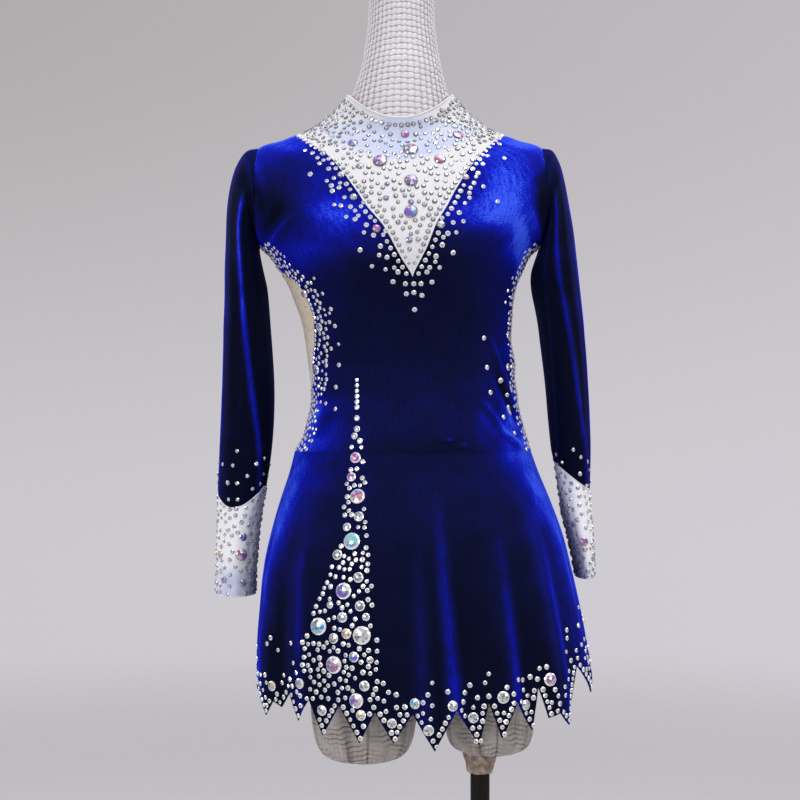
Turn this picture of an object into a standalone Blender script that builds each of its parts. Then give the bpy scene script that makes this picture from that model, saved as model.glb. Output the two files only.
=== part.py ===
# An ice skating dress on a limbless dress form with a stand.
# Stretch velvet, with a fine mesh yoke, mock-neck collar, waist inserts and cuffs, and a skirt with a spiked
# hem. Metres, +Z up, the wearer faces -Y, and the wearer's right side is at -X. The origin is the middle of
# the base plate's underside.

import math
from collections import namedtuple

import bmesh
import bpy
import numpy as np
from mathutils import Matrix, Vector
from mathutils.bvhtree import BVHTree

OBJECT_NAME = "ice_skating_dress_on_form"

# Cloth
VELVET_WALL = 0.0015
MESH_WALL = 0.0010
SEAM_GAP = 0.0003
YOKE_SEAM_GAP = 0.0004
HIP_SEAM_GAP = 0.0004
BODY_SQUARENESS = 0.06  # how far an oval section swells at its corners

# Columns of faces across each piece
FRONT_HALF_COLUMNS = 9
BACK_COLUMNS = 14
YOKE_COLUMNS = 12
INSERT_COLUMNS = 5
FORM_COLUMNS = 24

# A panel that ends in a point is cut off this share of a row before it
POINT_CUT = 0.12

# How finely a ring is searched for the place where it crosses an armhole's plane
SEARCH_STEPS = 1441

# The fitted body of the dress, from the dropped hip seam up to the collar's edge. Each station is one ring:
# the heights of its sides, front and back, its right and left edges, its front and back depths, the turns
# about Z at which the V neckline's edges cross it, the half angle of the mesh insert there, how far inside it
# the form lies, and how many rows of faces lead to the next station. Turns are in degrees: 0 at the wearer's
# left side, 90 at the back, 180 at the right side and 270 at the front.
Station = namedtuple("Station", "side front back right left chest spine vee_right vee_left insert ease rows")
BODY_STATIONS = [
    Station(0.967, 0.970, 0.970, -0.131, 0.163, -0.103, 0.112, 274.5, 274.5, 0, 0.0010, 1),
    Station(0.985, 0.987, 0.987, -0.120, 0.157, -0.101, 0.111, 274.5, 274.5, 0, 0.0010, 1),
    Station(1.014, 1.014, 1.014, -0.113, 0.149, -0.095, 0.104, 274.5, 274.5, 0, 0.0010, 1),
    Station(1.033, 1.033, 1.033, -0.110, 0.146, -0.091, 0.099, 274.5, 274.5, 0, 0.0022, 2),
    Station(1.055, 1.055, 1.055, -0.112, 0.143, -0.088, 0.093, 274.5, 274.5, 13, 0.0022, 1),
    Station(1.078, 1.078, 1.078, -0.115, 0.143, -0.086, 0.088, 274.5, 274.5, 17.5, 0.0014, 1),
    Station(1.102, 1.102, 1.102, -0.118, 0.139, -0.088, 0.087, 274.5, 274.5, 21, 0.0010, 1),
    Station(1.128, 1.128, 1.128, -0.123, 0.140, -0.093, 0.088, 274.5, 274.5, 24, 0.0010, 1),
    Station(1.153, 1.153, 1.153, -0.132, 0.142, -0.099, 0.091, 274.5, 274.5, 24, 0.0010, 1),
    Station(1.173, 1.173, 1.173, -0.140, 0.146, -0.103, 0.093, 274.5, 274.5, 19, 0.0036, 2),
    Station(1.195, 1.195, 1.195, -0.1525, 0.1545, -0.107, 0.096, 270.3, 278.5, 0, 0.0036, 1),
    Station(1.209, 1.209, 1.209, -0.162, 0.162, -0.108, 0.098, 268.0, 280.8, 0, 0.0030, 1),
    Station(1.2225, 1.2225, 1.2225, -0.176, 0.176, -0.108, 0.099, 266.0, 281.6, 0, 0.0036, 3),
    Station(1.250, 1.237, 1.240, -0.193, 0.193, -0.106, 0.100, 263.8, 282.3, 0, 0.0050, 2),
    Station(1.282, 1.256, 1.264, -0.203, 0.203, -0.103, 0.101, 259.6, 285.0, 0, 0.0080, 2),
    Station(1.318, 1.277, 1.291, -0.196, 0.196, -0.098, 0.101, 255.0, 289.2, 0, 0.0050, 3),
    Station(1.3435, 1.296, 1.314, -0.176, 0.176, -0.091, 0.099, 247.9, 296.5, 0, 0.0032, 2),
    Station(1.352, 1.311, 1.331, -0.150, 0.150, -0.084, 0.095, 236.2, 309.4, 0, 0.0045, 2),
    Station(1.357, 1.319, 1.341, -0.137, 0.137, -0.080, 0.091, 217.0, 326.0, 0, 0.0042, 3),
    Station(1.3616, 1.326, 1.350, -0.122, 0.122, -0.075, 0.086, 180.0, 360.0, 0, 0.0038, 1),
    Station(1.374, 1.336, 1.366, -0.101, 0.102, -0.068, 0.076, 180.0, 360.0, 0, 0.0010, 1),
    Station(1.390, 1.346, 1.383, -0.0815, 0.083, -0.060, 0.064, 180.0, 360.0, 0, 0.0010, 1),
    Station(1.400, 1.358, 1.398, -0.073, 0.0745, -0.058, 0.062, 180.0, 360.0, 0, 0.0032, 1),
    Station(1.4095, 1.371, 1.413, -0.066, 0.0665, -0.059, 0.064, 180.0, 360.0, 0, 0.0036, 1),
]

# Stations that the pieces start and end at
HIP_SEAM = 0
INSERT_LOW = 3
VEE_TIP = 9
INSERT_HIGH = 10
UNDERARM = 12
SHOULDER_POINT = 16
NECK_POINT = 19
NECK_SEAM = 21
COLLAR_EDGE = 23

# The armholes lie in two upright planes, this far out
ARMHOLE_X = 0.176

# Each insert's width is shared unevenly between front and back, because the dress sits a little turned
RIGHT_INSERT_FRONT_SHARE = 1.33
LEFT_INSERT_FRONT_SHARE = 0.45

# The bust line's soft swell
BUST_X = 0.070
BUST_Z = 1.212
BUST_WIDTH = 0.055
BUST_HEIGHT = 0.050
BUST_SWELL = 0.014

# The skirt from the hem's tips up to the hip seam
SkirtRing = namedtuple("SkirtRing", "height right left front back fullness")
SKIRT_RINGS = [
    SkirtRing(0.637, -0.176, 0.242, -0.174, 0.181, 1.00),
    SkirtRing(0.690, -0.178, 0.240, -0.170, 0.178, 0.95),
    SkirtRing(0.735, -0.178, 0.233, -0.166, 0.174, 0.85),
    SkirtRing(0.780, -0.175, 0.224, -0.160, 0.168, 0.70),
    SkirtRing(0.825, -0.171, 0.2135, -0.152, 0.160, 0.55),
    SkirtRing(0.865, -0.162, 0.203, -0.142, 0.150, 0.40),
    SkirtRing(0.905, -0.150, 0.188, -0.129, 0.138, 0.20),
    SkirtRing(0.940, -0.138, 0.173, -0.114, 0.124, 0.05),
    SkirtRing(0.967, -0.131, 0.163, -0.103, 0.112, 0.00),
]
HEM_TIP_HEIGHT = 0.637
SPIKE_LENGTH = 0.045
SKIRT_ROWS = 8

# The hem's spikes, from one side seam round to the other: the turn of each tip about Z in degrees (0 at the
# wearer's left side, 90 at the back, 270 at the front), how far the tip lies above HEM_TIP_HEIGHT, and how far
# the notch after it lies above a spike's length
HemSpike = namedtuple("HemSpike", "turn tip_rise notch_rise")
RIGHT_SEAM_RISE = 0.014
LEFT_SEAM_RISE = 0.024
FRONT_SPIKES = [
    HemSpike(184.0, 0.036, 0.014), HemSpike(194.0, 0.040, 0.010), HemSpike(208.5, 0.020, -0.007),
    HemSpike(216.5, 0.033, 0.007), HemSpike(226.5, 0.023, 0.003), HemSpike(235.5, 0.009, 0.000),
    HemSpike(249.0, 0.005, -0.005), HemSpike(259.5, 0.006, -0.005), HemSpike(271.5, 0.000, 0.000),
    HemSpike(285.0, 0.003, 0.005), HemSpike(291.5, 0.011, 0.006), HemSpike(303.5, 0.015, 0.018),
    HemSpike(309.0, 0.028, -0.013), HemSpike(318.5, 0.016, 0.035), HemSpike(336.0, 0.044, 0.030),
    HemSpike(352.0, 0.044, LEFT_SEAM_RISE),
]
BACK_SPIKES = [
    HemSpike(7.0, 0.036, 0.028), HemSpike(18.5, 0.045, 0.034), HemSpike(29.0, 0.040, 0.026),
    HemSpike(41.0, 0.024, 0.012), HemSpike(53.0, 0.012, 0.006), HemSpike(64.0, 0.013, 0.002),
    HemSpike(75.5, 0.003, -0.003), HemSpike(86.0, 0.007, 0.000), HemSpike(98.0, 0.000, -0.004),
    HemSpike(109.5, 0.006, 0.002), HemSpike(121.0, 0.003, 0.000), HemSpike(131.5, 0.010, 0.006),
    HemSpike(143.0, 0.009, 0.006), HemSpike(154.5, 0.018, 0.010), HemSpike(165.0, 0.026, 0.014),
    HemSpike(175.0, 0.032, RIGHT_SEAM_RISE),
]

# Between the skirt's folds the hem lies this far inside its oval
FOLD_REST = 0.0035

# The skirt's standing folds at the hem: their turn about Z, half width and height
SkirtFold = namedtuple("SkirtFold", "turn half_width height")
SKIRT_FOLDS = [
    SkirtFold(13, 9, 0.007), SkirtFold(36, 10, 0.012), SkirtFold(62, 8, 0.008), SkirtFold(88, 10, 0.013),
    SkirtFold(116, 8, 0.009), SkirtFold(142, 10, 0.011), SkirtFold(168, 8, 0.007), SkirtFold(206, 11, 0.010),
    SkirtFold(227, 6, 0.005), SkirtFold(252, 7, 0.004), SkirtFold(272, 7, 0.011), SkirtFold(293, 6, 0.009),
    SkirtFold(313, 7, 0.010), SkirtFold(334, 9, 0.009),
]

# A sleeve hangs empty. Each ring is an oval between its inner and outer points, seen from the front
SleeveRing = namedtuple("SleeveRing", "inner_x inner_z outer_x outer_z half_depth")
RIGHT_SLEEVE_RINGS = [
    SleeveRing(-0.1765, 1.2190, -0.1905, 1.3400, 0.0525),
    SleeveRing(-0.1765, 1.2150, -0.2030, 1.3220, 0.0550),
    SleeveRing(-0.1755, 1.2090, -0.2105, 1.2980, 0.0570),
    SleeveRing(-0.1735, 1.2000, -0.2150, 1.2680, 0.0580),
    SleeveRing(-0.1705, 1.1870, -0.2165, 1.2330, 0.0580),
    SleeveRing(-0.1665, 1.1680, -0.2180, 1.1930, 0.0570),
    SleeveRing(-0.1635, 1.1350, -0.2190, 1.1480, 0.0540),
    SleeveRing(-0.1605, 1.0950, -0.2210, 1.1000, 0.0500),
    SleeveRing(-0.1580, 1.0500, -0.2230, 1.0500, 0.0460),
    SleeveRing(-0.1585, 1.0050, -0.2250, 1.0050, 0.0430),
    SleeveRing(-0.1620, 0.9620, -0.2270, 0.9620, 0.0395),
]
LEFT_SLEEVE_RINGS = [
    SleeveRing(0.1765, 1.2190, 0.1890, 1.3405, 0.0525),
    SleeveRing(0.1750, 1.2150, 0.1985, 1.3240, 0.0550),
    SleeveRing(0.1725, 1.2090, 0.2045, 1.3020, 0.0570),
    SleeveRing(0.1680, 1.2000, 0.2100, 1.2730, 0.0580),
    SleeveRing(0.1645, 1.1870, 0.2160, 1.2380, 0.0580),
    SleeveRing(0.1650, 1.1680, 0.2205, 1.1980, 0.0570),
    SleeveRing(0.1715, 1.1350, 0.2260, 1.1520, 0.0540),
    SleeveRing(0.1770, 1.0950, 0.2305, 1.1050, 0.0515),
    SleeveRing(0.1825, 1.0500, 0.2340, 1.0550, 0.0485),
    SleeveRing(0.1865, 1.0050, 0.2365, 1.0080, 0.0460),
    SleeveRing(0.1905, 0.9680, 0.2380, 0.9620, 0.0430),
]

# Where a sleeve's velvet ends on the mesh cuff: its inner and outer points, how far the seam dips in front,
# and the cuff's rings below it
CuffEnd = namedtuple("CuffEnd", "inner_x inner_z outer_x outer_z half_depth front_dip")
RIGHT_VELVET_END = CuffEnd(-0.1680, 0.9220, -0.2290, 0.9270, 0.0370, 0.028)
LEFT_VELVET_END = CuffEnd(0.1945, 0.9520, 0.2375, 0.9190, 0.0400, 0.004)
RIGHT_CUFF_RINGS = [
    SleeveRing(-0.1750, 0.8780, -0.2290, 0.8780, 0.0350),
    SleeveRing(-0.1785, 0.8480, -0.2300, 0.8480, 0.0340),
    SleeveRing(-0.1805, 0.8180, -0.2310, 0.8180, 0.0330),
    SleeveRing(-0.1820, 0.7870, -0.2320, 0.7880, 0.0330),
]
LEFT_CUFF_RINGS = [
    SleeveRing(0.2030, 0.8920, 0.2395, 0.8900, 0.0380),
    SleeveRing(0.2100, 0.8620, 0.2420, 0.8620, 0.0370),
    SleeveRing(0.2160, 0.8360, 0.2435, 0.8360, 0.0360),
    SleeveRing(0.2210, 0.8090, 0.2440, 0.8110, 0.0350),
]
CUFF_BACKSET = 0.012  # the sleeves hang this much behind the armholes' middle at the wrist

# Long soft folds down a sleeve: where each runs round it at the shoulder and at the wrist, its height and
# its half width in degrees
SleeveFold = namedtuple("SleeveFold", "top_turn wrist_turn height half_width")
SLEEVE_FOLDS = [
    SleeveFold(238, 302, 0.0035, 24),
    SleeveFold(62, 118, 0.0035, 24),
]
FOLD_START = 0.15  # how far along its rise a fold already is at the armhole
SHOULDER_SHARE = 1 / 3  # a sleeve's columns are evenly spaced round it from this share of its length down

# The dress form above the collar and below the hip seam
FormRing = namedtuple("FormRing", "height right left front back")
FORM_NECK = [
    FormRing(1.4375, -0.0505, 0.0535, -0.050, 0.058),
    FormRing(1.4640, -0.0450, 0.0485, -0.046, 0.056),
    FormRing(1.4960, -0.0405, 0.0440, -0.045, 0.055),
    FormRing(1.5300, -0.0385, 0.0425, -0.045, 0.054),
    FormRing(1.5400, -0.0350, 0.0390, -0.041, 0.050),
    FormRing(1.5450, -0.0270, 0.0310, -0.033, 0.042),
]
FORM_HIPS = [
    FormRing(0.7750, -0.0600, 0.1080, -0.040, 0.045),
    FormRing(0.7850, -0.0920, 0.1420, -0.068, 0.075),
    FormRing(0.8100, -0.1180, 0.1660, -0.092, 0.102),
    FormRing(0.8500, -0.1260, 0.1710, -0.100, 0.114),
    FormRing(0.8950, -0.1290, 0.1690, -0.103, 0.117),
    FormRing(0.9350, -0.1300, 0.1640, -0.102, 0.114),
]

# The two thigh stubs: rings of half width and half depth
StubRing = namedtuple("StubRing", "height half_width half_depth")
RIGHT_STUB_X = -0.0450
RIGHT_STUB_RINGS = [
    StubRing(0.583, 0.036, 0.036),
    StubRing(0.588, 0.050, 0.051),
    StubRing(0.598, 0.058, 0.060),
    StubRing(0.616, 0.0635, 0.066),
    StubRing(0.652, 0.067, 0.071),
    StubRing(0.720, 0.0675, 0.076),
    StubRing(0.790, 0.0675, 0.081),
    StubRing(0.850, 0.063, 0.076),
]
LEFT_STUB_X = 0.1120
LEFT_STUB_RINGS = [
    StubRing(0.592, 0.034, 0.034),
    StubRing(0.597, 0.046, 0.048),
    StubRing(0.606, 0.052, 0.056),
    StubRing(0.622, 0.0555, 0.061),
    StubRing(0.655, 0.057, 0.066),
    StubRing(0.720, 0.057, 0.072),
    StubRing(0.790, 0.056, 0.078),
    StubRing(0.850, 0.051, 0.074),
]
STUB_COLUMNS = 16
STUB_SET_BACK = 0.003

# The stand
POST_X = 0.1000
POST_DIAMETER = 0.024
SOCKET_TOP_DIAMETER = 0.042
SOCKET_END_DIAMETER = 0.032
SOCKET_LENGTH = 0.026
STAND_GAP = 0.0003
BASE_DIAMETER = 0.380
BASE_THICKNESS = 0.006
BASE_EDGE = 0.002

# Large set stones: the piece each sits on, its place as seen from the front, and its diameter
Stone = namedtuple("Stone", "piece x z diameter")
STONES = [
    Stone("front_yoke", 0.0128, 1.3275, 0.018),
    Stone("front_yoke", -0.0240, 1.3140, 0.017),
    Stone("front_yoke", 0.0482, 1.3165, 0.014),
    Stone("front_yoke", 0.0130, 1.2907, 0.016),
    Stone("front_yoke", 0.0129, 1.2530, 0.016),
    Stone("front_yoke", 0.0700, 1.3455, 0.013),
    Stone("skirt_front", -0.0488, 0.9200, 0.017),
    Stone("skirt_front", -0.0550, 0.8680, 0.019),
    Stone("skirt_front", -0.0640, 0.8130, 0.017),
    Stone("skirt_front", -0.0920, 0.7740, 0.019),
    Stone("skirt_front", -0.0435, 0.7640, 0.020),
    Stone("skirt_front", -0.0745, 0.7305, 0.019),
    Stone("skirt_front", -0.0495, 0.6915, 0.016),
    Stone("skirt_front", 0.1180, 0.6960, 0.013),
    Stone("skirt_front", 0.1730, 0.7080, 0.014),
    Stone("cuff_right", -0.1940, 0.8400, 0.015),
]
STONE_SINK = 0.0006
STONE_RISE = 0.22  # height over diameter
STONE_TABLE = 0.60  # flat top over diameter
STONE_SIDES = 8


def clear_scene():
    for thing in list(bpy.data.objects):
        bpy.data.objects.remove(thing, do_unlink=True)


def make_collection(name):
    group = bpy.data.collections.new(name)
    bpy.context.scene.collection.children.link(group)
    return group


def make_finish(name, colour, roughness, metallic=0.0):
    finish = bpy.data.materials.new(name)
    finish.use_nodes = True
    shader = finish.node_tree.nodes["Principled BSDF"]
    shader.inputs["Base Color"].default_value = (*colour, 1.0)
    shader.inputs["Roughness"].default_value = roughness
    shader.inputs["Metallic"].default_value = metallic
    return finish


# Curves and surfaces of the body

def smooth_column(values, at):
    # Runs a smooth curve through a table's column and reads it at fractional rows
    values = np.asarray(values, dtype=float)
    at = np.clip(at, 0.0, len(values) - 1.0)
    row = np.minimum(np.floor(at).astype(int), len(values) - 2)
    part = at - row
    before = values[np.maximum(row - 1, 0)]
    start = values[row]
    end = values[row + 1]
    after = values[np.minimum(row + 2, len(values) - 1)]
    bend = 2 * before - 5 * start + 4 * end - after
    twist = 3 * start - before - 3 * end + after
    return start + 0.5 * part * (end - before + part * (bend + part * twist))


def station_column(name, at):
    return smooth_column([getattr(station, name) for station in BODY_STATIONS], at)


def oval(theta, right, left, front, back):
    # An oval section: x and y at each turn theta, swollen a little at its corners
    c = np.cos(theta)
    s = np.sin(theta)
    depth = np.where(s < 0, -front, back)
    x = (right + left) / 2 + (left - right) / 2 * c * (1 + BODY_SQUARENESS * s * s)
    y = depth * s * (1 + BODY_SQUARENESS * c * c)
    return x, y


def bust_swell(x, z, s):
    right = np.exp(-((x + BUST_X) / BUST_WIDTH) ** 2)
    left = np.exp(-((x - BUST_X) / BUST_WIDTH) ** 2)
    return BUST_SWELL * np.maximum(-s, 0) * (right + left) * np.exp(-((z - BUST_Z) / BUST_HEIGHT) ** 2)


def body_point(theta, at):
    # The outer surface of the fitted cloth, at a turn about Z and a place along the stations
    theta, at = np.broadcast_arrays(np.asarray(theta, dtype=float), np.asarray(at, dtype=float))
    edges = [station_column(name, at) for name in ("right", "left", "chest", "spine")]
    x, y = oval(theta, *edges)
    c2 = np.cos(theta) ** 2
    s = np.sin(theta)
    ends = np.where(s < 0, station_column("front", at), station_column("back", at))
    z = station_column("side", at) * c2 + ends * (1 - c2)
    y = y - bust_swell(x, z, s)
    return np.stack([x, y, z], axis=-1)


def unit(vectors):
    return vectors / np.linalg.norm(vectors, axis=-1, keepdims=True)


def body_normal(theta, at):
    step = 1e-3
    across = body_point(theta + step, at) - body_point(theta - step, at)
    up = body_point(theta, np.asarray(at) + step) - body_point(theta, np.asarray(at) - step)
    return unit(np.cross(across, up))


def front_turn(at, x):
    # The turn at which the front of a ring crosses the given x, or its side where it doesn't reach it
    turns = np.linspace(math.pi, 2 * math.pi, SEARCH_STEPS)
    return float(np.interp(x, body_point(turns, at)[:, 0], turns))


def back_turn(at, x):
    turns = np.linspace(math.pi, 0, SEARCH_STEPS)
    return float(np.interp(x, body_point(turns, at)[:, 0], turns))


def insert_turn(at):
    return math.radians(float(station_column("insert", at))) if INSERT_LOW < at < INSERT_HIGH else 0.0


def station_steps(first, last):
    # Places along the stations for a piece's rows of points, the stations themselves among them. They crowd
    # towards the armhole's lowest and highest points, where its edge turns fastest.
    steps = []
    for station in range(first, last):
        rows = BODY_STATIONS[station].rows
        for row in range(rows):
            share = row / rows
            if station == UNDERARM:
                share = share ** 2
            if station == SHOULDER_POINT - 1:
                share = 1 - (1 - share) ** 2
            steps.append(station + share)
    return steps + [last]


def front_edges(at):
    # The right and left edges of the front: side seams, insert seams, armholes and shoulder seams
    right = max(front_turn(at, -ARMHOLE_X), math.pi + RIGHT_INSERT_FRONT_SHARE * insert_turn(at))
    left = min(front_turn(at, ARMHOLE_X), 2 * math.pi - LEFT_INSERT_FRONT_SHARE * insert_turn(at))
    return right, left


def back_edges(at):
    left = max(back_turn(at, ARMHOLE_X), (2 - LEFT_INSERT_FRONT_SHARE) * insert_turn(at))
    right = min(back_turn(at, -ARMHOLE_X), math.pi - (2 - RIGHT_INSERT_FRONT_SHARE) * insert_turn(at))
    return left, right


def vee_edges(at):
    if at >= NECK_POINT:
        return math.pi, 2 * math.pi
    return math.radians(station_column("vee_right", at)), math.radians(station_column("vee_left", at))


# Walls of cloth

def body_grid(steps, edges, columns):
    # Turns and stations for a patch of the body: a row for each step, evenly spaced between its two edges
    share = np.linspace(0, 1, columns + 1)
    theta = np.array([first + (last - first) * share for first, last in (edges(at) for at in steps)])
    at = np.repeat(np.array(steps, dtype=float)[:, None], columns + 1, axis=1)
    return theta, at


def body_walls(theta, at, wall):
    outer = body_point(theta, at)
    return outer, outer - wall * body_normal(theta, at)


def trim(outer, inner, first=0.0, last=0.0, low=0.0, high=0.0):
    # Draws a patch's edges in by the seam gap, fading the move out across the patch
    rows, columns = outer.shape[:2]

    def inward(edge, neighbour):
        along = unit(np.gradient(edge, axis=0))
        across = neighbour - edge
        return unit(across - along * np.sum(across * along, axis=-1, keepdims=True))

    across_share = np.linspace(0, 1, columns)[None, :, None]
    up_share = np.linspace(0, 1, rows)[:, None, None]
    move = first * inward(outer[:, 0], outer[:, 1])[:, None] * (1 - across_share)
    move = move + last * inward(outer[:, -1], outer[:, -2])[:, None] * across_share
    move = move + low * inward(outer[0], outer[1])[None] * (1 - up_share)
    move = move + high * inward(outer[-1], outer[-2])[None] * up_share
    return outer + move, inner + move


def cut_points(grid, low=False, high=False):
    # Ends a patch a little short of a pointed end
    grid = grid.copy()
    if low:
        grid[0] = grid[0] + POINT_CUT * (grid[1] - grid[0])
    if high:
        grid[-1] = grid[-1] + POINT_CUT * (grid[-2] - grid[-1])
    return grid


def grid_faces(index):
    # Four-sided faces between neighbouring points, outward where columns run with the turn and rows run up
    faces = []
    for low, high in zip(index[:-1], index[1:]):
        for j in range(len(low) - 1):
            corners = list(dict.fromkeys([low[j], low[j + 1], high[j + 1], high[j]]))
            if len(corners) > 2:
                faces.append(corners)
    return faces


def add_mesh(name, points, faces, finish, group, sharp_angle=50):
    mesh = bpy.data.meshes.new(name)
    mesh.from_pydata([tuple(point) for point in points], [], [list(face) for face in faces])
    mesh.materials.append(finish)
    mesh.shade_smooth()
    mesh.set_sharp_from_angle(angle=math.radians(sharp_angle))
    piece = bpy.data.objects.new(name, mesh)
    group.objects.link(piece)
    return piece


def cloth_wall(name, outer, inner, faces, finish, group):
    # Closes a sheet of cloth: its outer faces, its inner faces and a rim along every free edge. An inner face
    # starts at the same corner as its outer one, so that both split along the same diagonal.
    count = len(outer)
    sides = [(face[i], face[(i + 1) % len(face)]) for face in faces for i in range(len(face))]
    shared = set(sides)
    rims = [(b, a, a + count, b + count) for a, b in sides if (b, a) not in shared]
    inside = [[corner + count for corner in [face[0]] + face[:0:-1]] for face in faces]
    return add_mesh(name, np.concatenate([outer, inner]), list(faces) + inside + rims, finish, group)


def patch(name, outer, inner, finish, group):
    rows, columns = outer.shape[:2]
    index = np.arange(rows * columns).reshape(rows, columns).tolist()
    return cloth_wall(name, outer.reshape(-1, 3), inner.reshape(-1, 3), grid_faces(index), finish, group)


def tube(name, outer, inner, finish, group):
    # A patch whose last column joins its first
    rows, columns = outer.shape[:2]
    index = [[row * columns + j % columns for j in range(columns + 1)] for row in range(rows)]
    return cloth_wall(name, outer.reshape(-1, 3), inner.reshape(-1, 3), grid_faces(index), finish, group)


# Velvet body

def make_front(finish, group):
    # One piece with a V cut out of its top: two halves that share the middle column up to the V's tip
    steps = station_steps(HIP_SEAM, NECK_POINT)

    def right_half(at):
        return front_edges(at)[0], vee_edges(at)[0]

    def left_half(at):
        return vee_edges(at)[1], front_edges(at)[1]

    halves = []
    for half_edges in (right_half, left_half):
        walls = body_walls(*body_grid(steps, half_edges, FRONT_HALF_COLUMNS), VELVET_WALL)
        halves.append([cut_points(wall, high=True) for wall in walls])
    rows, columns = halves[0][0].shape[:2]
    right = np.arange(rows * columns).reshape(rows, columns)
    left = right + rows * columns
    tip_row = steps.index(VEE_TIP)
    left[:tip_row + 1, 0] = right[:tip_row + 1, -1]
    faces = grid_faces(right.tolist()) + grid_faces(left.tolist())
    outer = np.concatenate([half[0].reshape(-1, 3) for half in halves])
    inner = np.concatenate([half[1].reshape(-1, 3) for half in halves])
    used = sorted({corner for face in faces for corner in face})
    place = {corner: number for number, corner in enumerate(used)}
    faces = [[place[corner] for corner in face] for face in faces]
    return cloth_wall("front_velvet", outer[used], inner[used], faces, finish, group)


def make_back(finish, group):
    steps = station_steps(HIP_SEAM, NECK_POINT)
    walls = body_walls(*body_grid(steps, back_edges, BACK_COLUMNS), VELVET_WALL)
    return patch("back_velvet", *trim(*walls, first=SEAM_GAP, last=SEAM_GAP), finish, group)


# Mesh body

def make_front_yoke(finish, group):
    steps = station_steps(VEE_TIP, NECK_SEAM)
    walls = body_walls(*body_grid(steps, vee_edges, YOKE_COLUMNS), MESH_WALL)
    walls = [cut_points(wall, low=True) for wall in walls]
    return patch("front_yoke", *trim(*walls, first=YOKE_SEAM_GAP, last=YOKE_SEAM_GAP), finish, group)


def make_back_yokes(finish, group):
    # Two halves that meet at the centre-back opening
    steps = station_steps(NECK_POINT, NECK_SEAM)
    middle = math.pi / 2
    for name, edges in (("back_yoke_left", (0.0, middle)), ("back_yoke_right", (middle, math.pi))):
        walls = body_walls(*body_grid(steps, lambda at: edges, BACK_COLUMNS // 2), MESH_WALL)
        seams = {"first": SEAM_GAP, "last": SEAM_GAP}
        seams["last" if name.endswith("left") else "first"] = SEAM_GAP / 2
        patch(name, *trim(*walls, low=SEAM_GAP, **seams), finish, group)


def make_collar(finish, group):
    # A strip round the neck that meets itself at the centre back
    steps = station_steps(NECK_SEAM, COLLAR_EDGE)
    half_turn = np.linspace(math.pi / 2, math.pi, BACK_COLUMNS // 2 + 1)
    turns = np.concatenate([
        half_turn,
        np.linspace(math.pi, 2 * math.pi, YOKE_COLUMNS + 1)[1:],
        half_turn[1:] + 1.5 * math.pi,
    ])
    theta = np.repeat(turns[None, :], len(steps), axis=0)
    at = np.repeat(np.array(steps, dtype=float)[:, None], len(turns), axis=1)
    walls = body_walls(theta, at, MESH_WALL)
    patch("collar", *trim(*walls, first=SEAM_GAP / 2, last=SEAM_GAP / 2, low=SEAM_GAP), finish, group)


def make_inserts(finish, group):
    steps = station_steps(INSERT_LOW, INSERT_HIGH)
    right_shares = (2 - RIGHT_INSERT_FRONT_SHARE, RIGHT_INSERT_FRONT_SHARE)
    left_shares = (LEFT_INSERT_FRONT_SHARE, 2 - LEFT_INSERT_FRONT_SHARE)
    for name, side, shares in (("right", math.pi, right_shares), ("left", 2 * math.pi, left_shares)):

        def edges(at):
            half = insert_turn(at)
            return side - shares[0] * half, side + shares[1] * half

        walls = body_walls(*body_grid(steps, edges, INSERT_COLUMNS), MESH_WALL)
        walls = [cut_points(wall, low=True, high=True) for wall in walls]
        front = {"last": SEAM_GAP} if name == "right" else {"first": SEAM_GAP}
        patch("side_insert_" + name, *trim(*walls, **front), finish, group)


# Sleeves and cuffs

def armhole_points(right_side):
    # Round the armhole from the underarm up the back to the shoulder point and down the front
    steps = station_steps(UNDERARM, SHOULDER_POINT)
    x = -ARMHOLE_X if right_side else ARMHOLE_X
    back = [body_point(back_turn(at, x), at) for at in steps]
    front = [body_point(front_turn(at, x), at) for at in steps]
    points = np.array(back + front[-2:0:-1])
    points[:, 0] = x + math.copysign(SEAM_GAP, x)
    return points


def sleeve_oval(turns, ring, middle_y):
    # A sleeve's section: turn 0 at its inner point, a quarter turn at the back, half a turn at its outer one
    inner = np.array([ring.inner_x, middle_y, ring.inner_z])
    outer = np.array([ring.outer_x, middle_y, ring.outer_z])
    across = np.cos(turns)[:, None] * (inner - outer) / 2
    deep = np.sin(turns)[:, None] * np.array([0.0, ring.half_depth, 0.0])
    return (inner + outer) / 2 + across + deep


def fold_lift(turns, share):
    # How far a sleeve's long folds stand out at each turn, a share of the way down it
    lift = np.zeros_like(turns)
    for fold in SLEEVE_FOLDS:
        centre = math.radians(fold.top_turn + (fold.wrist_turn - fold.top_turn) * share)
        gap = np.angle(np.exp(1j * (turns - centre)))
        lift += fold.height * np.exp(-(gap / math.radians(fold.half_width)) ** 2)
    rise = FOLD_START + (1 - FOLD_START) * share
    return lift * math.sqrt(math.sin(math.pi * rise))


def tube_normals(rings, outward):
    # Normals of a tube given as rings of points from top to bottom
    round_it = np.roll(rings, -1, axis=1) - np.roll(rings, 1, axis=1)
    down = np.gradient(rings, axis=0)
    return unit(np.cross(down, round_it)) * outward


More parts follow.
